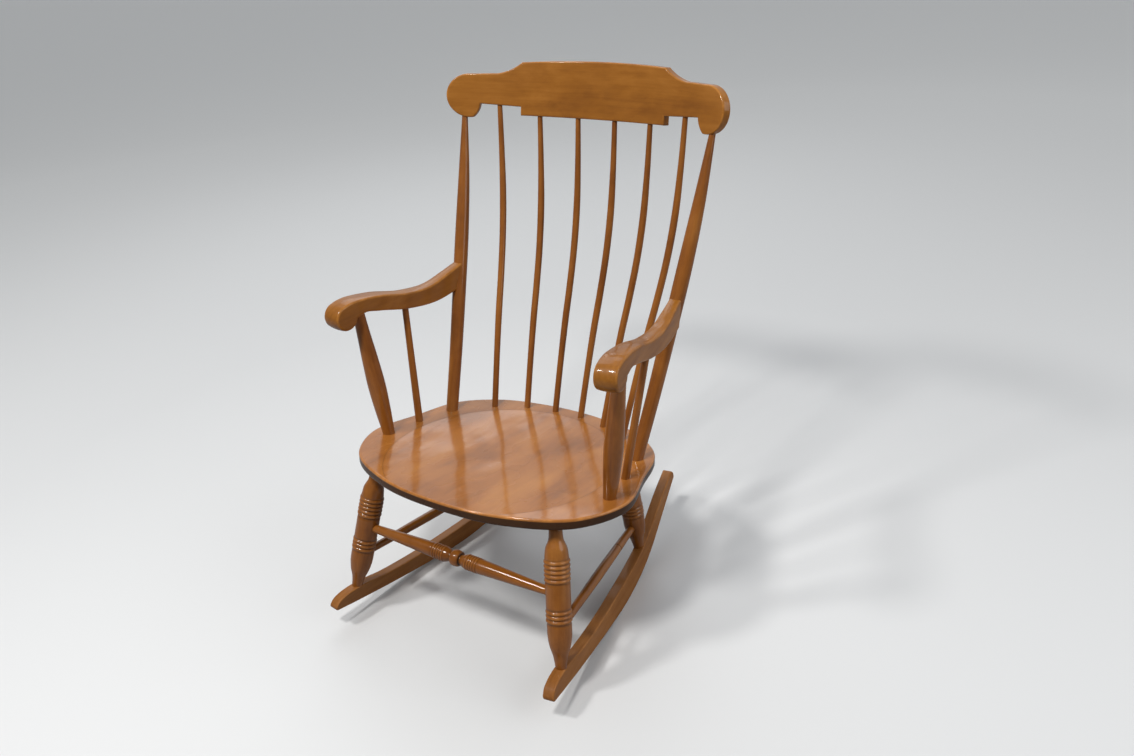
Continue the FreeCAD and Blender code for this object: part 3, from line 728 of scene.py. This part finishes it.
def seat_rows():
    """Rows of the board's skin from the middle of the dish, over the edge, to the middle below.

    A row is (what it is measured from, share or distance, height, edge wear, painted shade and stain).
    """
    rows = [("dish", k / DISH_ROWS, 0.0, 0.0, 0.0) for k in range(1, DISH_ROWS)]
    rows.append(("crease", -1.3, 0.0, 0.0, 0.0))
    rows.append(("crease", 0.0, 0.0, 0.3, CREASE_SHADE))
    rows.append(("crease", 1.0, 0.0, 0.0, 0.1))
    rows += [("border", k / BORDER_ROWS, 0.0, 0.0, 0.0) for k in range(1, BORDER_ROWS + 1)]
    for angle in (22, 45, 68, 90):
        turn = math.radians(angle)
        inset = SEAT_ROUND * (1 - math.sin(turn))
        drop = SEAT_ROUND * (1 - math.cos(turn))
        rows.append(("edge", inset, -drop, 1.0, 0.0))
    rows.append(("edge", 0.0, -SEAT_ROUND - 1.5, 0.3, SIDE_STAIN_AND_SHADE))
    rows.append(("edge", 0.0, -SEAT_ROUND - 3.0, 0.0, SIDE_STAIN_AND_SHADE))
    rows.append(("edge", 0.0, -0.5 * SEAT_EDGE, 0.0, SIDE_STAIN_AND_SHADE))
    for angle in (0, 30, 60):
        turn = math.radians(angle)
        drop = SEAT_EDGE - 4 + 5 * math.sin(turn)
        rows.append(("edge", 6 * (1 - math.cos(turn)), -drop, 0.0, SIDE_STAIN_AND_SHADE))
    rows.append(("edge", SEAT_UNDERCUT, -SEAT_THICKNESS + 0.8, 0.0, UNDER_STAIN_AND_SHADE))
    rows.append(("edge", SEAT_UNDERCUT + 3, -SEAT_THICKNESS, 0.0, UNDER_STAIN_AND_SHADE))
    for k in range(UNDER_ROWS - 1, 0, -1):
        rows.append(("under", k / UNDER_ROWS, -SEAT_THICKNESS, 0.0, UNDER_STAIN_AND_SHADE))
    return rows


def make_seat():
    middle = Vector((0, SEAT_FRONT + 0.45 * (SEAT_BACK - SEAT_FRONT)))
    off_centre = Vector((0, middle.y - DISH_CENTRE))
    rim = SEAT_ROUND + 2.0
    bottom = SEAT_UNDERCUT + 3
    outline = seat_outline(SEAT_SIDES)
    rings = []
    for kind, amount, z, worn, stain in seat_rows():
        ring = []
        for x, y in outline:
            out = Vector((x, y)) - middle
            edge = out.length
            out.normalize()
            toward = out.dot(off_centre)
            crease = math.sqrt(toward ** 2 - off_centre.length ** 2 + DISH_RADIUS ** 2) - toward
            on_top = crease < edge - rim
            crease = min(crease, edge - rim)
            reach = {"dish": amount * (crease - 2.0),
                     "crease": crease + amount,
                     "border": crease + 1 + (edge - SEAT_ROUND - crease - 1) * amount,
                     "edge": edge - amount,
                     "under": (edge - bottom) * amount}[kind]
            spot = middle + out * reach
            top = z
            if z > -SEAT_EDGE / 2:
                top -= dish_depth(spot.x, spot.y)
            fibre = (spot.x + SEAT_GRAIN, top + 2 * SEAT_GRAIN, spot.y + 3 * SEAT_GRAIN)
            # stain holds each row's darkening: painted shade along the crease where it lies on the top,
            # and darker stain with painted shade on the side and underside
            marks = (worn, stain) if on_top or kind != "crease" else (0.0, 0.0)
            ring.append((on_seat(spot.x, spot.y, top), fibre) + marks)
        rings.append(ring)
    piece = rings_to_piece(SEAT_NAME, rings)
    outward(piece.data)
    finish_piece(piece, SEAT_WOOD, ["seat"])


# Crest rail
def crest_sag(x):
    return CREST_BOW - math.sqrt(CREST_BOW ** 2 - x ** 2)


def crest_place(x, h, w):
    """Flat front view (x, h) and depth w (toward the back) bent to the bow and leaned."""
    lean = math.radians(CREST_LEAN)
    turn = math.asin(x / CREST_BOW)
    side = x + w * math.sin(turn)
    back = w * math.cos(turn) - crest_sag(x)
    y = CREST_MID + back * math.cos(lean) + h * math.sin(lean)
    z = CREST_BOTTOM - back * math.sin(lean) + h * math.cos(lean)
    return drawn(side, y, z)


def crest_outline():
    """Front view of the crest rail as (x, height), anticlockwise from the middle of its lower edge."""
    ear_turn = math.radians(EAR_TURN)
    ear_low = (EAR_X + EAR_RADIUS * math.cos(ear_turn), EAR_H + EAR_RADIUS * math.sin(ear_turn))
    ear_top = EAR_H + EAR_RADIUS
    notch_end = (NOTCH_HALF, CREST_DROP + NOTCH_RISE)
    cheek = ((ear_low[0] + notch_end[0]) / 2 - CHEEK_ROUND[0],
             (ear_low[1] + notch_end[1]) / 2 - CHEEK_ROUND[1])
    shoulder = (CREST_TOP_HALF, CREST_HEIGHT - CREST_CROWN)
    scoop_mid = ((shoulder[0] + SCOOP_X) / 2 - SCOOP_HOLLOW[0],
                 (shoulder[1] + SCOOP_H) / 2 - SCOOP_HOLLOW[1])
    right = [(CREST_DROP_HALF * k / 24, 0.0) for k in range(25)]
    right += [(CREST_DROP_HALF, CREST_DROP * k / 3) for k in range(1, 4)]
    for k in range(1, 13):
        share = k / 12
        x = CREST_DROP_HALF + (NOTCH_HALF - CREST_DROP_HALF) * share
        right.append((x, CREST_DROP + NOTCH_RISE * share))
    right += arc_through(notch_end, cheek, ear_low, 8)[1:]
    right += arc_points((EAR_X, EAR_H), EAR_RADIUS, EAR_TURN, 90, 44)[1:]
    for k in range(1, 9):
        share = k / 8
        ease = share ** 2 * (3 - 2 * share)
        right.append((EAR_X + (SCOOP_X - EAR_X) * share, ear_top + (SCOOP_H - ear_top) * ease))
    right += arc_through((SCOOP_X, SCOOP_H), scoop_mid, shoulder, 12)[1:]
    right += arc_through(shoulder, (0, CREST_HEIGHT), (-shoulder[0], shoulder[1]), 48)[1:25]
    left = [(-x, h) for x, h in reversed(right[1:-1])]
    return right + left


def make_crest():
    def fibre(u, v, w):
        return (v, w, u)

    piece = slab("crest", crest_outline(), lambda u, v: CREST_THICKNESS / 2, CREST_ROUND, 0.0,
                 crest_place, fibre, 9.0)
    finish_piece(piece, SHAPED_WOOD, ["crest_rail"])


# Bent posts and spindles of the back
SPINDLE_BEND = [(0.17, 0.2), (0.31, 0.375), (0.43, 0.54), (0.56, 0.7), (0.7, 0.83), (0.85, 0.925),
                (1.0, 1.0)]
POST_BEND = [(0.2, 0.228), (0.4, 0.44), (0.6, 0.645), (0.8, 0.835), (1.0, 1.0)]
POST_FOOT = (250.0, 48.0)
POST_TOP_X = 311.0
POST_RADII = [14.0, 14.0, 14.9, 15.8, 15.8, 12.75, 6.7, 6.0]
SPINDLE_RADII = [7.2, 7.2, 7.2, 7.7, 7.7, 7.7, 7.7, 6.55, 5.6, 5.04]
SPINDLE_FOOT_PITCH = 70.0
SPINDLE_TOP_PITCH = 93.8
SPINDLE_ARC = 320.0
SPINDLE_BACK = 169.0
SEAT_SOCKET = 26.0
CREST_SOCKET = 13.0


def back_line(foot_x, foot_y, top_x, entry_h, bend):
    """Centre line from its socket in the seat, by the bend's shares, into the crest rail."""
    foot = drawn(foot_x, foot_y, deck_z(foot_y))
    entry = crest_place(top_x, entry_h, 0.0)
    points = [foot]
    for up, back in bend:
        x = foot.x + (entry.x - foot.x) * back
        y = foot.y + (entry.y - foot.y) * back
        points.append(Vector((x, y, foot.z + (entry.z - foot.z) * up)))
    first = (points[1] - points[0]).normalized()
    last = (points[-1] - points[-2]).normalized()
    return [foot - first * SEAT_SOCKET] + points + [points[-1] + last * CREST_SOCKET]


def make_back():
    def post(side_name, side):
        line = back_line(*POST_FOOT, POST_TOP_X, EAR_H - EAR_RADIUS, POST_BEND)
        line = [across(p, side) for p in line]
        piece = bent_bar("post_" + side_name, line, POST_RADII, TURNED_WOOD, 48)
        finish_piece(piece, TURNED_WOOD, ["back_post_" + side_name])
    both_sides(post)
    for pair, label in enumerate(("inner", "middle", "outer")):
        foot_x = (pair + 0.5) * SPINDLE_FOOT_PITCH
        foot_y = SPINDLE_BACK - SPINDLE_ARC + math.sqrt(SPINDLE_ARC ** 2 - foot_x ** 2)
        top_x = (pair + 0.5) * SPINDLE_TOP_PITCH
        entry_h = 0.0 if top_x < CREST_DROP_HALF else CREST_DROP + NOTCH_RISE / 2

        def spindle(side_name, side):
            line = back_line(foot_x, foot_y, top_x, entry_h, SPINDLE_BEND)
            line = [across(p, side) for p in line]
            piece = bent_bar("spindle_%s_%s" % (label, side_name), line, SPINDLE_RADII, TURNED_WOOD, 32)
            finish_piece(piece, TURNED_WOOD, ["back_spindle_%s_%s" % (label, side_name)])
        both_sides(spindle)


# Arms
ARM_SPLAY = 7.6
ARM_JOINT = (285.0, 172.0)
ARM_FRONT_WIDTH = 47.0
ARM_REAR_WIDTH = 26.0
HAND_RADIUS = 29.0
HAND_REACH = 337.0
HAND_Z = 655.0
ROLL_START = 75.0
ROLL_END = -158.0
NECK_TURN = -22.0
ARM_ROUND = 5.0
ARM_CROWN = 1.4
ARM_TOP_LINE = [(330.0, 685.8), (312.0, 686.4), (287.0, 683.3), (244.0, 674.5), (164.0, 650.0),
                (90.0, 641.0), (36.0, 650.0)]
ARM_UNDER_LINE = [(288.0, 647.5), (254.0, 638.0), (170.0, 610.0), (83.0, 594.0)]
ARM_REAR_TOP = (-21.0, 662.0)
ARM_REAR_BOTTOM = (5.9, 598.0)


def arm_place(reach, across_arm, z):
    """Point of the left arm, reach measured forward from its joint with the back post."""
    splay = math.radians(ARM_SPLAY)
    x = ARM_JOINT[0] + reach * math.sin(splay) + across_arm * math.cos(splay)
    y = ARM_JOINT[1] - reach * math.cos(splay) + across_arm * math.sin(splay)
    return drawn(x, y, z)


def arm_outline():
    """Side view of the arm as (reach, height), from the top of the hand round under the arm and back."""
    hand = (HAND_REACH, HAND_Z)
    roll = arc_points(hand, HAND_RADIUS, ROLL_START, ROLL_END, 72)
    top = smooth_line([roll[0]] + ARM_TOP_LINE + [ARM_REAR_TOP], 70)
    neck_turn = math.radians(NECK_TURN)
    neck = (HAND_REACH - HAND_RADIUS * math.cos(neck_turn),
            HAND_Z + HAND_RADIUS * math.sin(neck_turn))
    under = smooth_line([neck] + ARM_UNDER_LINE + [ARM_REAR_BOTTOM], 50)
    low = Vector(ARM_REAR_BOTTOM)
    high = Vector(ARM_REAR_TOP)
    rear = [tuple(low.lerp(high, k / 8)) for k in range(1, 8)]
    return roll + under[1:] + rear + list(reversed(top))[:-1]


def make_arms():
    flat = [(-reach, z) for reach, z in arm_outline()]

    def half(u, v):
        share = min(1.0, max(0.0, -u / (HAND_REACH - HAND_RADIUS)))
        return 0.5 * (ARM_REAR_WIDTH + (ARM_FRONT_WIDTH - ARM_REAR_WIDTH) * share)

    def arm(side_name, side):
        def place(u, v, w):
            return across(arm_place(-u, w, v), side)

        def fibre(u, v, w):
            return (v, w, u)

        piece = slab("arm_rest_" + side_name, flat, half, ARM_ROUND, ARM_CROWN, place, fibre, 8.0)
        if side < 0:
            piece.data.flip_normals()
        finish_piece(piece, SHAPED_WOOD, ["arm_" + side_name])
    both_sides(arm)


# Turned uprights under the arms: distance ahead of the arm's joint, how far the foot stands inward and
# forward of the head, and (share of the height, radius) up the turning
ARM_UPRIGHTS = {
    "arm_post": (293.0, 36.8, 10.6,
                 [(0.0, 13.8), (0.18, 17.0), (0.4, 19.5), (0.62, 17.6), (0.85, 14.2), (1.0, 13.0)]),
    "arm_spindle": (166.0, 39.6, 50.0, [(0.0, 8.6), (0.5, 7.9), (1.0, 7.2)])}
UPRIGHT_FOOT_DEPTH = 20.0
UPRIGHT_HEAD_DEPTH = 12.0


def under_arm(reach):
    points = sorted(ARM_UNDER_LINE)
    for low, high in zip(points, points[1:]):
        if low[0] <= reach <= high[0]:
            share = (reach - low[0]) / (high[0] - low[0])
            return low[1] + (high[1] - low[1]) * share
    return points[-1][1]


def plain_profile(nodes, count):
    return [(d, r, 0.0, 0.0) for d, r in smooth_line(nodes, count)]


def make_uprights():
    for label, (reach, inset, forward, shares) in ARM_UPRIGHTS.items():
        head = arm_place(reach, 0.0, under_arm(reach))
        below = arm_place(reach + forward, 0.0, 0.0)
        foot_y = below.y - FOOTPRINT_SHIFT
        foot = Vector((below.x - inset, below.y, deck_z(foot_y)))
        height = (head - foot).length
        nodes = [(-UPRIGHT_FOOT_DEPTH, shares[0][1])] + [(share * height, r) for share, r in shares]
        nodes.append((height + UPRIGHT_HEAD_DEPTH, shares[-1][1]))

        def upright(side_name, side):
            piece = turning("%s_turning_%s" % (label, side_name), across(foot, side), across(head, side),
                            plain_profile(nodes, 60), 56)
            finish_piece(piece, TURNED_WOOD, ["%s_%s" % (label, side_name)])
        both_sides(upright)


# Legs and stretchers
FRONT_FOOT = Vector((272.0, -323.0, 76.0))
FRONT_SLOPE = Vector((-0.1576, 0.32, 1.0)).normalized()
REAR_FOOT = Vector((209.0, 104.0, 53.0))
REAR_SLOPE = Vector((-0.08, -0.055, 1.0)).normalized()
LEG_RADIUS = 24.8
FOOT_RADIUS = 11.5
NECK_RADIUS = 13.5
RING_PITCH = 9.2
RING_RISE = 1.3
RUNNER_SOCKET = 14.0
LEG_SOCKET = 12.0
FRONT_RINGS = (0.352, 0.652)
REAR_RINGS = (0.41, 0.66)

# One bead: share of the pitch along, share of the rise out, edge wear, painted shade in the groove
BEAD_SCORE = (-0.5, -1.3, 0.0, 0.32)
BEAD = [BEAD_SCORE, (-0.42, -0.7, 0.0, 0.2), (-0.3, 0.2, 0.1, 0.0), (-0.15, 0.85, 0.6, 0.0),
        (0.0, 1.0, 1.0, 0.0), (0.15, 0.85, 0.6, 0.0), (0.3, 0.2, 0.1, 0.0), (0.42, -0.7, 0.0, 0.2)]


def ridges(start, count, pitch, radius, rise):
    """Round beads with a scored line between neighbours."""
    points = []
    for i in range(count):
        middle = start + i * pitch
        for along, out, worn, deep in BEAD:
            points.append((middle + along * pitch, radius + out * rise, worn, deep))
    along, out, worn, deep = BEAD_SCORE
    points.append((start + (count + along) * pitch, radius + out * rise, worn, deep))
    return points


def leg_profile(length, shares):
    """Leg turned between its two groups of rings, which stand at these shares of its length."""
    lower = shares[0] * length
    upper = shares[1] * length
    swell = lower - RING_PITCH
    points = [(-RUNNER_SOCKET, FOOT_RADIUS, 0.0, 0.0)]
    points += plain_profile([(0.0, FOOT_RADIUS), (0.25 * swell, LEG_RADIUS * 0.6),
                             (0.5 * swell, LEG_RADIUS * 0.86), (0.7 * swell, LEG_RADIUS * 0.97),
                             (swell, LEG_RADIUS)], 30)
    points += ridges(lower, 3, RING_PITCH, LEG_RADIUS, RING_RISE)
    first = lower + 2.7 * RING_PITCH
    last = upper - 0.8 * RING_PITCH
    # A darkened line beside each ring group: painted shade
    points += [(first, LEG_RADIUS, 0.0, 0.2), (first + 4, LEG_RADIUS, 0.0, 0.0),
               (last - 4, LEG_RADIUS, 0.0, 0.0), (last, LEG_RADIUS, 0.0, 0.2)]
    points += ridges(upper, 5, RING_PITCH, LEG_RADIUS, RING_RISE)
    vase = upper + 4.7 * RING_PITCH
    rest = length - vase
    points += plain_profile([(vase, LEG_RADIUS * 0.97), (vase + 0.38 * rest, LEG_RADIUS * 0.86),
                             (vase + 0.68 * rest, NECK_RADIUS * 1.12), (length, NECK_RADIUS)], 20)
    points.append((length + LEG_SOCKET, NECK_RADIUS, 0.0, 0.0))
    return points


def seat_underside(foot, slope):
    """Length from a foot, along its slope, to the underside of the seat."""
    lean = math.radians(SEAT_LEAN)
    normal = Vector((0, math.sin(lean), math.cos(lean)))
    under = Vector((0, 0, SEAT_HEIGHT)) - normal * SEAT_THICKNESS
    return (under - foot).dot(normal) / slope.dot(normal)


def shifted(point):
    return Vector((point.x, point.y + FOOTPRINT_SHIFT, point.z))


def make_legs():
    for label, foot, slope, shares in (("front", FRONT_FOOT, FRONT_SLOPE, FRONT_RINGS),
                                       ("rear", REAR_FOOT, REAR_SLOPE, REAR_RINGS)):
        length = seat_underside(foot, slope)
        profile = leg_profile(length, shares)

        def leg(side_name, side):
            base = across(shifted(foot), side)
            tip = across(shifted(foot + slope * length), side)
            piece = turning("%s_leg_%s" % (label, side_name), base, tip, profile, 80)
            finish_piece(piece, TURNED_WOOD, ["leg_%s_%s" % (label, side_name)])
        both_sides(leg)


# Stretchers: heights of their ends above the feet of the legs, then radii at the ends and in the middle
SIDE_BAR_AHEAD = 76.0
SIDE_BAR_BEHIND = 64.0
REAR_BAR_UP = 110.0
FRONT_BAR_UP = 147.0
BAR_INSET = 8.0
BAR_END_RADIUS = 8.0
BAR_RADIUS = 10.6
BAR_SCORE_AT = 0.74
FRONT_BAR_END_RADIUS = 8.5
BALL_RADIUS = 17.5
BALL_HALF = 10.0
BALL_RINGS_START = 30.5
BALL_RINGS_PITCH = 6.2
BALL_RINGS_RADIUS = 16.0
BALL_RINGS_RISE = 0.75
BALL_RINGS_END = 61.0


def make_side_bars():
    low_front = shifted(FRONT_FOOT + FRONT_SLOPE * SIDE_BAR_AHEAD)
    low_rear = shifted(REAR_FOOT + REAR_SLOPE * SIDE_BAR_BEHIND)

    def side_bar(side_name, side):
        start = across(low_front, side)
        end = across(low_rear, side)
        span = (end - start).length
        scored = BAR_SCORE_AT * span
        nodes = [(BAR_INSET, BAR_END_RADIUS), (0.2 * span, 9.2), (0.5 * span, BAR_RADIUS),
                 (scored - 1.5, 10.0)]
        profile = plain_profile(nodes, 40)
        # The scored line is darkened with painted shade
        profile += [(scored - 0.7, 9.7, 0.0, 0.6), (scored, 9.1, 0.0, 1.0), (scored + 0.7, 9.6, 0.0, 0.6)]
        nodes = [(scored + 1.5, 9.9), (0.85 * span, 9.1), (span - BAR_INSET, BAR_END_RADIUS)]
        profile += plain_profile(nodes, 20)
        piece = turning("side_bar_" + side_name, start, end, profile, 48)
        finish_piece(piece, TURNED_WOOD, ["side_stretcher_" + side_name])
    both_sides(side_bar)


def make_rear_bar():
    end = shifted(REAR_FOOT + REAR_SLOPE * REAR_BAR_UP)
    span = 2 * end.x
    nodes = [(BAR_INSET, BAR_END_RADIUS), (0.2 * span, 9.2), (0.5 * span, BAR_RADIUS), (0.8 * span, 9.2),
             (span - BAR_INSET, BAR_END_RADIUS)]
    piece = turning("rear_bar", across(end, -1), end, plain_profile(nodes, 60), 48)
    finish_piece(piece, TURNED_WOOD, ["rear_stretcher"])


def make_front_bar():
    """A ball in the middle, a throat, a group of rings and a long taper, the same both ways."""
    end = shifted(FRONT_FOOT + FRONT_SLOPE * FRONT_BAR_UP)
    half = end.x
    profile = []
    for angle in range(0, 81, 10):
        turn = math.radians(angle)
        radius = BALL_RADIUS * (0.78 + 0.22 * math.cos(turn))
        profile.append((BALL_HALF * math.sin(turn), radius, 0.4, 0.0))
    # The throat beside the ball is darkened with painted shade
    profile += [(10.6, 11.5, 0.0, 1.0), (11.5, 10.4, 0.0, 0.9), (13.0, 10.0, 0.0, 0.5),
                (14.5, 10.6, 0.0, 0.2)]
    profile += plain_profile([(15.5, 11.0), (21.0, 13.6), (26.0, 15.3)], 10)
    profile += ridges(BALL_RINGS_START, 5, BALL_RINGS_PITCH, BALL_RINGS_RADIUS, BALL_RINGS_RISE)
    taper = half - BALL_RINGS_END - BAR_INSET
    nodes = [(BALL_RINGS_END, 15.8), (BALL_RINGS_END + 0.4 * taper, 12.8),
             (BALL_RINGS_END + 0.8 * taper, 9.9), (half - BAR_INSET, FRONT_BAR_END_RADIUS)]
    profile += plain_profile(nodes, 40)
    whole = [(half - along, radius, worn, deep) for along, radius, worn, deep in reversed(profile)]
    whole += [(half + along, radius, worn, deep) for along, radius, worn, deep in profile[1:]]
    piece = turning("front_bar", across(end, -1), end, whole, 64)
    finish_piece(piece, TURNED_WOOD, ["front_stretcher"])


# Rockers
ROCKER_WIDTH = 24.0
ROCKER_ROUND = 3.0
ROCKER_LEAN = 6.8
CONTACT_Y = -10.7
MIDDLE_RADIUS = 600.0
FRONT_RADIUS = 3400.0
REAR_RADIUS = 480.0
MIDDLE_FRONT = -60.0
MIDDLE_REAR = 70.0
TOE = -393.0
TAIL_STRAIGHT = 180.0
TAIL = 341.0
FLAT_DEPTH = 0.1
ROCKER_TOP = [(-390.0, 63.5), (-384.5, 70.0), (-370.0, 75.6), (-348.0, 78.0), (-323.0, 76.5),
              (-252.0, 62.0), (-160.0, 52.0), (-40.0, 48.5), (40.0, 49.5), (105.0, 55.0), (158.0, 68.0),
              (199.0, 82.0), (250.0, 98.5)]
TAIL_THICKNESS = 22.0
TAIL_BULGE = 5.0
NOSE_BACK = 5.0
NOSE_DROP = 1.0
RUNNING_STEPS = 90


def arc_middle(join, radius):
    """Station of the centre of an outer arc that goes on smoothly from the middle arc."""
    return CONTACT_Y + join - radius * join / MIDDLE_RADIUS


TAIL_TURN = math.asin((TAIL_STRAIGHT - arc_middle(MIDDLE_REAR, REAR_RADIUS)) / REAR_RADIUS)


def rocker_bottom(y):
    """Height of the running edge at a station, for its three arcs and its straight tail."""
    if y > TAIL_STRAIGHT:
        return rocker_bottom(TAIL_STRAIGHT) + (y - TAIL_STRAIGHT) * math.tan(TAIL_TURN)
    if MIDDLE_FRONT <= y - CONTACT_Y <= MIDDLE_REAR:
        return MIDDLE_RADIUS - math.sqrt(MIDDLE_RADIUS ** 2 - (y - CONTACT_Y) ** 2)
    ahead = y < CONTACT_Y
    edge = MIDDLE_FRONT if ahead else MIDDLE_REAR
    radius = FRONT_RADIUS if ahead else REAR_RADIUS
    turn = math.asin(edge / MIDDLE_RADIUS)
    centre_z = MIDDLE_RADIUS - MIDDLE_RADIUS * math.cos(turn) + radius * math.cos(turn)
    return centre_z - math.sqrt(radius ** 2 - (y - arc_middle(edge, radius)) ** 2)


def rocker_outline():
    """Side view of a runner as (station, height), along the running edge and back over the top."""
    start = TOE + NOSE_BACK
    bottom = []
    for i in range(RUNNING_STEPS + 1):
        y = start + (TAIL - start) * i / RUNNING_STEPS
        bottom.append((y, max(rocker_bottom(y), FLAT_DEPTH)))
    tail = Vector(bottom[-1])
    along = Vector((math.cos(TAIL_TURN), math.sin(TAIL_TURN)))
    upward = Vector((-along.y, along.x))
    over = tail + upward * TAIL_THICKNESS
    tail_round = tail + upward * (TAIL_THICKNESS / 2) + along * TAIL_BULGE
    top = smooth_line(ROCKER_TOP + [tuple(over)], 110)
    toe = bottom[0]
    nose = (TOE, (toe[1] + top[0][1]) / 2 - NOSE_DROP)
    loop = bottom + arc_through(tail, tail_round, over, 6)[1:]
    loop += list(reversed(top))[1:]
    loop += arc_through(top[0], nose, toe, 16)[1:-1]
    return loop


def make_rockers():
    lean = math.radians(ROCKER_LEAN)
    run = REAR_FOOT - FRONT_FOOT
    toe_in = Matrix.Rotation(math.atan2(-run.x, run.y), 3, "Z")
    under_foot = toe_in @ Vector((-math.tan(lean) * FRONT_FOOT.z, FRONT_FOOT.y, 0))
    move = Vector((FRONT_FOOT.x - under_foot.x, FRONT_FOOT.y - under_foot.y, -FLAT_DEPTH))
    loop = rocker_outline()

    def rocker(side_name, side):
        def place(u, v, w):
            point = Vector((-math.sin(lean) * v + w, u, math.cos(lean) * v))
            return across(shifted(toe_in @ point + move), side)

        def fibre(u, v, w):
            return (v, w, u)

        piece = slab("runner_" + side_name, loop, lambda u, v: ROCKER_WIDTH / 2, ROCKER_ROUND, 0.0,
                     place, fibre, 12.0)
        if side > 0:
            piece.data.flip_normals()
        finish_piece(piece, RUNNER_WOOD, ["rocker_" + side_name])
    both_sides(rocker)


make_seat()
make_crest()
make_back()
make_arms()
make_uprights()
make_legs()
make_side_bars()
make_rear_bar()
make_front_bar()
make_rockers()


# Floor, light and camera
FLOOR_HALF = 40.0
FLOOR_NEAR = (0.70, 0.71, 0.72)
FLOOR_FAR = (0.95, 0.96, 0.96)
FLOOR_IN_THE_LIGHT = (0.34, 0.34, 0.35)
WALL_TINT = (0.96, 0.98, 1.0, 1.0)
WALL_AHEAD = 0.20
WALL_BEHIND = 0.68
WALL_TO_THE_EYE = 0.55
CHAIR_MIDDLE = (0, 0, 0.5)
SENSOR_WIDTH = 36.0
FOCAL_LENGTH = 31.41
CAMERA_PLACE = (1.1540, -1.4903, 1.4769)
CAMERA_RIGHT = Vector((0.84118, 0.53495, -0.07909))
CAMERA_UP = Vector((-0.19177, 0.43185, 0.88132))
CAMERA_BACK = Vector((0.50562, -0.72618, 0.46584))


def pale_floor():
    """Matt floor, paler to the eye than in the light that it throws back on the wood."""
    material = bpy.data.materials.new("pale floor")
    material.use_nodes = True
    tree = material.node_tree
    shader = tree.nodes["Principled BSDF"]
    rays = tree.nodes.new("ShaderNodeLightPath")
    place = tree.nodes.new("ShaderNodeTexCoord")
    distance = tree.nodes.new("ShaderNodeVectorMath")
    distance.operation = "LENGTH"
    tree.links.new(place.outputs["Object"], distance.inputs[0])
    far = remapped(tree, distance.outputs["Value"], 1.6, 5.0, 0.0, 1.0)
    shown = tinted(tree, far, FLOOR_NEAR, FLOOR_FAR)
    colour = tinted(tree, rays.outputs["Is Camera Ray"], FLOOR_IN_THE_LIGHT, shown)
    tree.links.new(colour, shader.inputs["Base Color"])
    shader.inputs["Roughness"].default_value = 0.6
    return material


def lay_floor():
    corners = [(-FLOOR_HALF, -FLOOR_HALF, 0), (FLOOR_HALF, -FLOOR_HALF, 0),
               (FLOOR_HALF, FLOOR_HALF, 0), (-FLOOR_HALF, FLOOR_HALF, 0)]
    mesh = bpy.data.meshes.new("floor")
    mesh.from_pydata(corners, [], [(0, 1, 2, 3)])
    floor = bpy.data.objects.new("floor", mesh)
    bpy.context.scene.collection.objects.link(floor)
    floor.data.materials.append(pale_floor())


def light_walls():
    """Walls that are brighter behind the chair than ahead of it, and even where the camera sees them."""
    world = bpy.data.worlds.new("studio")
    bpy.context.scene.world = world
    world.use_nodes = True
    tree = world.node_tree
    view = tree.nodes.new("ShaderNodeTexCoord")
    sides = tree.nodes.new("ShaderNodeSeparateXYZ")
    tree.links.new(view.outputs["Generated"], sides.inputs["Vector"])
    wall = remapped(tree, sides.outputs["Y"], -0.3, 0.7, WALL_AHEAD, WALL_BEHIND)
    rays = tree.nodes.new("ShaderNodeLightPath")
    backdrop = tree.nodes.new("ShaderNodeMix")
    tree.links.new(rays.outputs["Is Camera Ray"], backdrop.inputs["Factor"])
    tree.links.new(wall, backdrop.inputs["A"])
    backdrop.inputs["B"].default_value = WALL_TO_THE_EYE
    background = tree.nodes["Background"]
    tree.links.new(backdrop.outputs["Result"], background.inputs["Strength"])
    background.inputs["Color"].default_value = WALL_TINT


def lamp(name, place, target, size, power, colour):
    light = bpy.data.lights.new(name, "AREA")
    light.shape = "DISK"
    light.size = size
    light.energy = power
    light.color = colour
    holder = bpy.data.objects.new(name, light)
    holder.location = place
    holder.rotation_euler = (Vector(target) - Vector(place)).to_track_quat("-Z", "Y").to_euler()
    bpy.context.scene.collection.objects.link(holder)


def set_camera():
    data = bpy.data.cameras.new("photo view")
    data.sensor_width = SENSOR_WIDTH
    data.lens = FOCAL_LENGTH
    camera = bpy.data.objects.new("photo view", data)
    facing = Matrix((CAMERA_RIGHT, CAMERA_UP, CAMERA_BACK)).transposed()
    camera.matrix_world = Matrix.Translation(CAMERA_PLACE) @ facing.to_4x4()
    bpy.context.scene.collection.objects.link(camera)
    bpy.context.scene.camera = camera


lay_floor()
light_walls()
lamp("ceiling lamp left", (-1.4, -1.9, 3.3), CHAIR_MIDDLE, 0.5, 54, (1.0, 0.98, 0.95))
lamp("ceiling lamp right", (0.0, -1.6, 3.3), CHAIR_MIDDLE, 0.5, 54, (1.0, 0.98, 0.95))
lamp("side lamp", (2.9, 0.4, 1.9), CHAIR_MIDDLE, 2.2, 26, (1.0, 0.99, 0.98))
lamp("back lamp", (-1.8, 2.2, 2.8), (0, 0, 0.6), 2.4, 20, (0.96, 0.98, 1.0))
set_camera()
bpy.context.scene.view_settings.view_transform = "Standard"
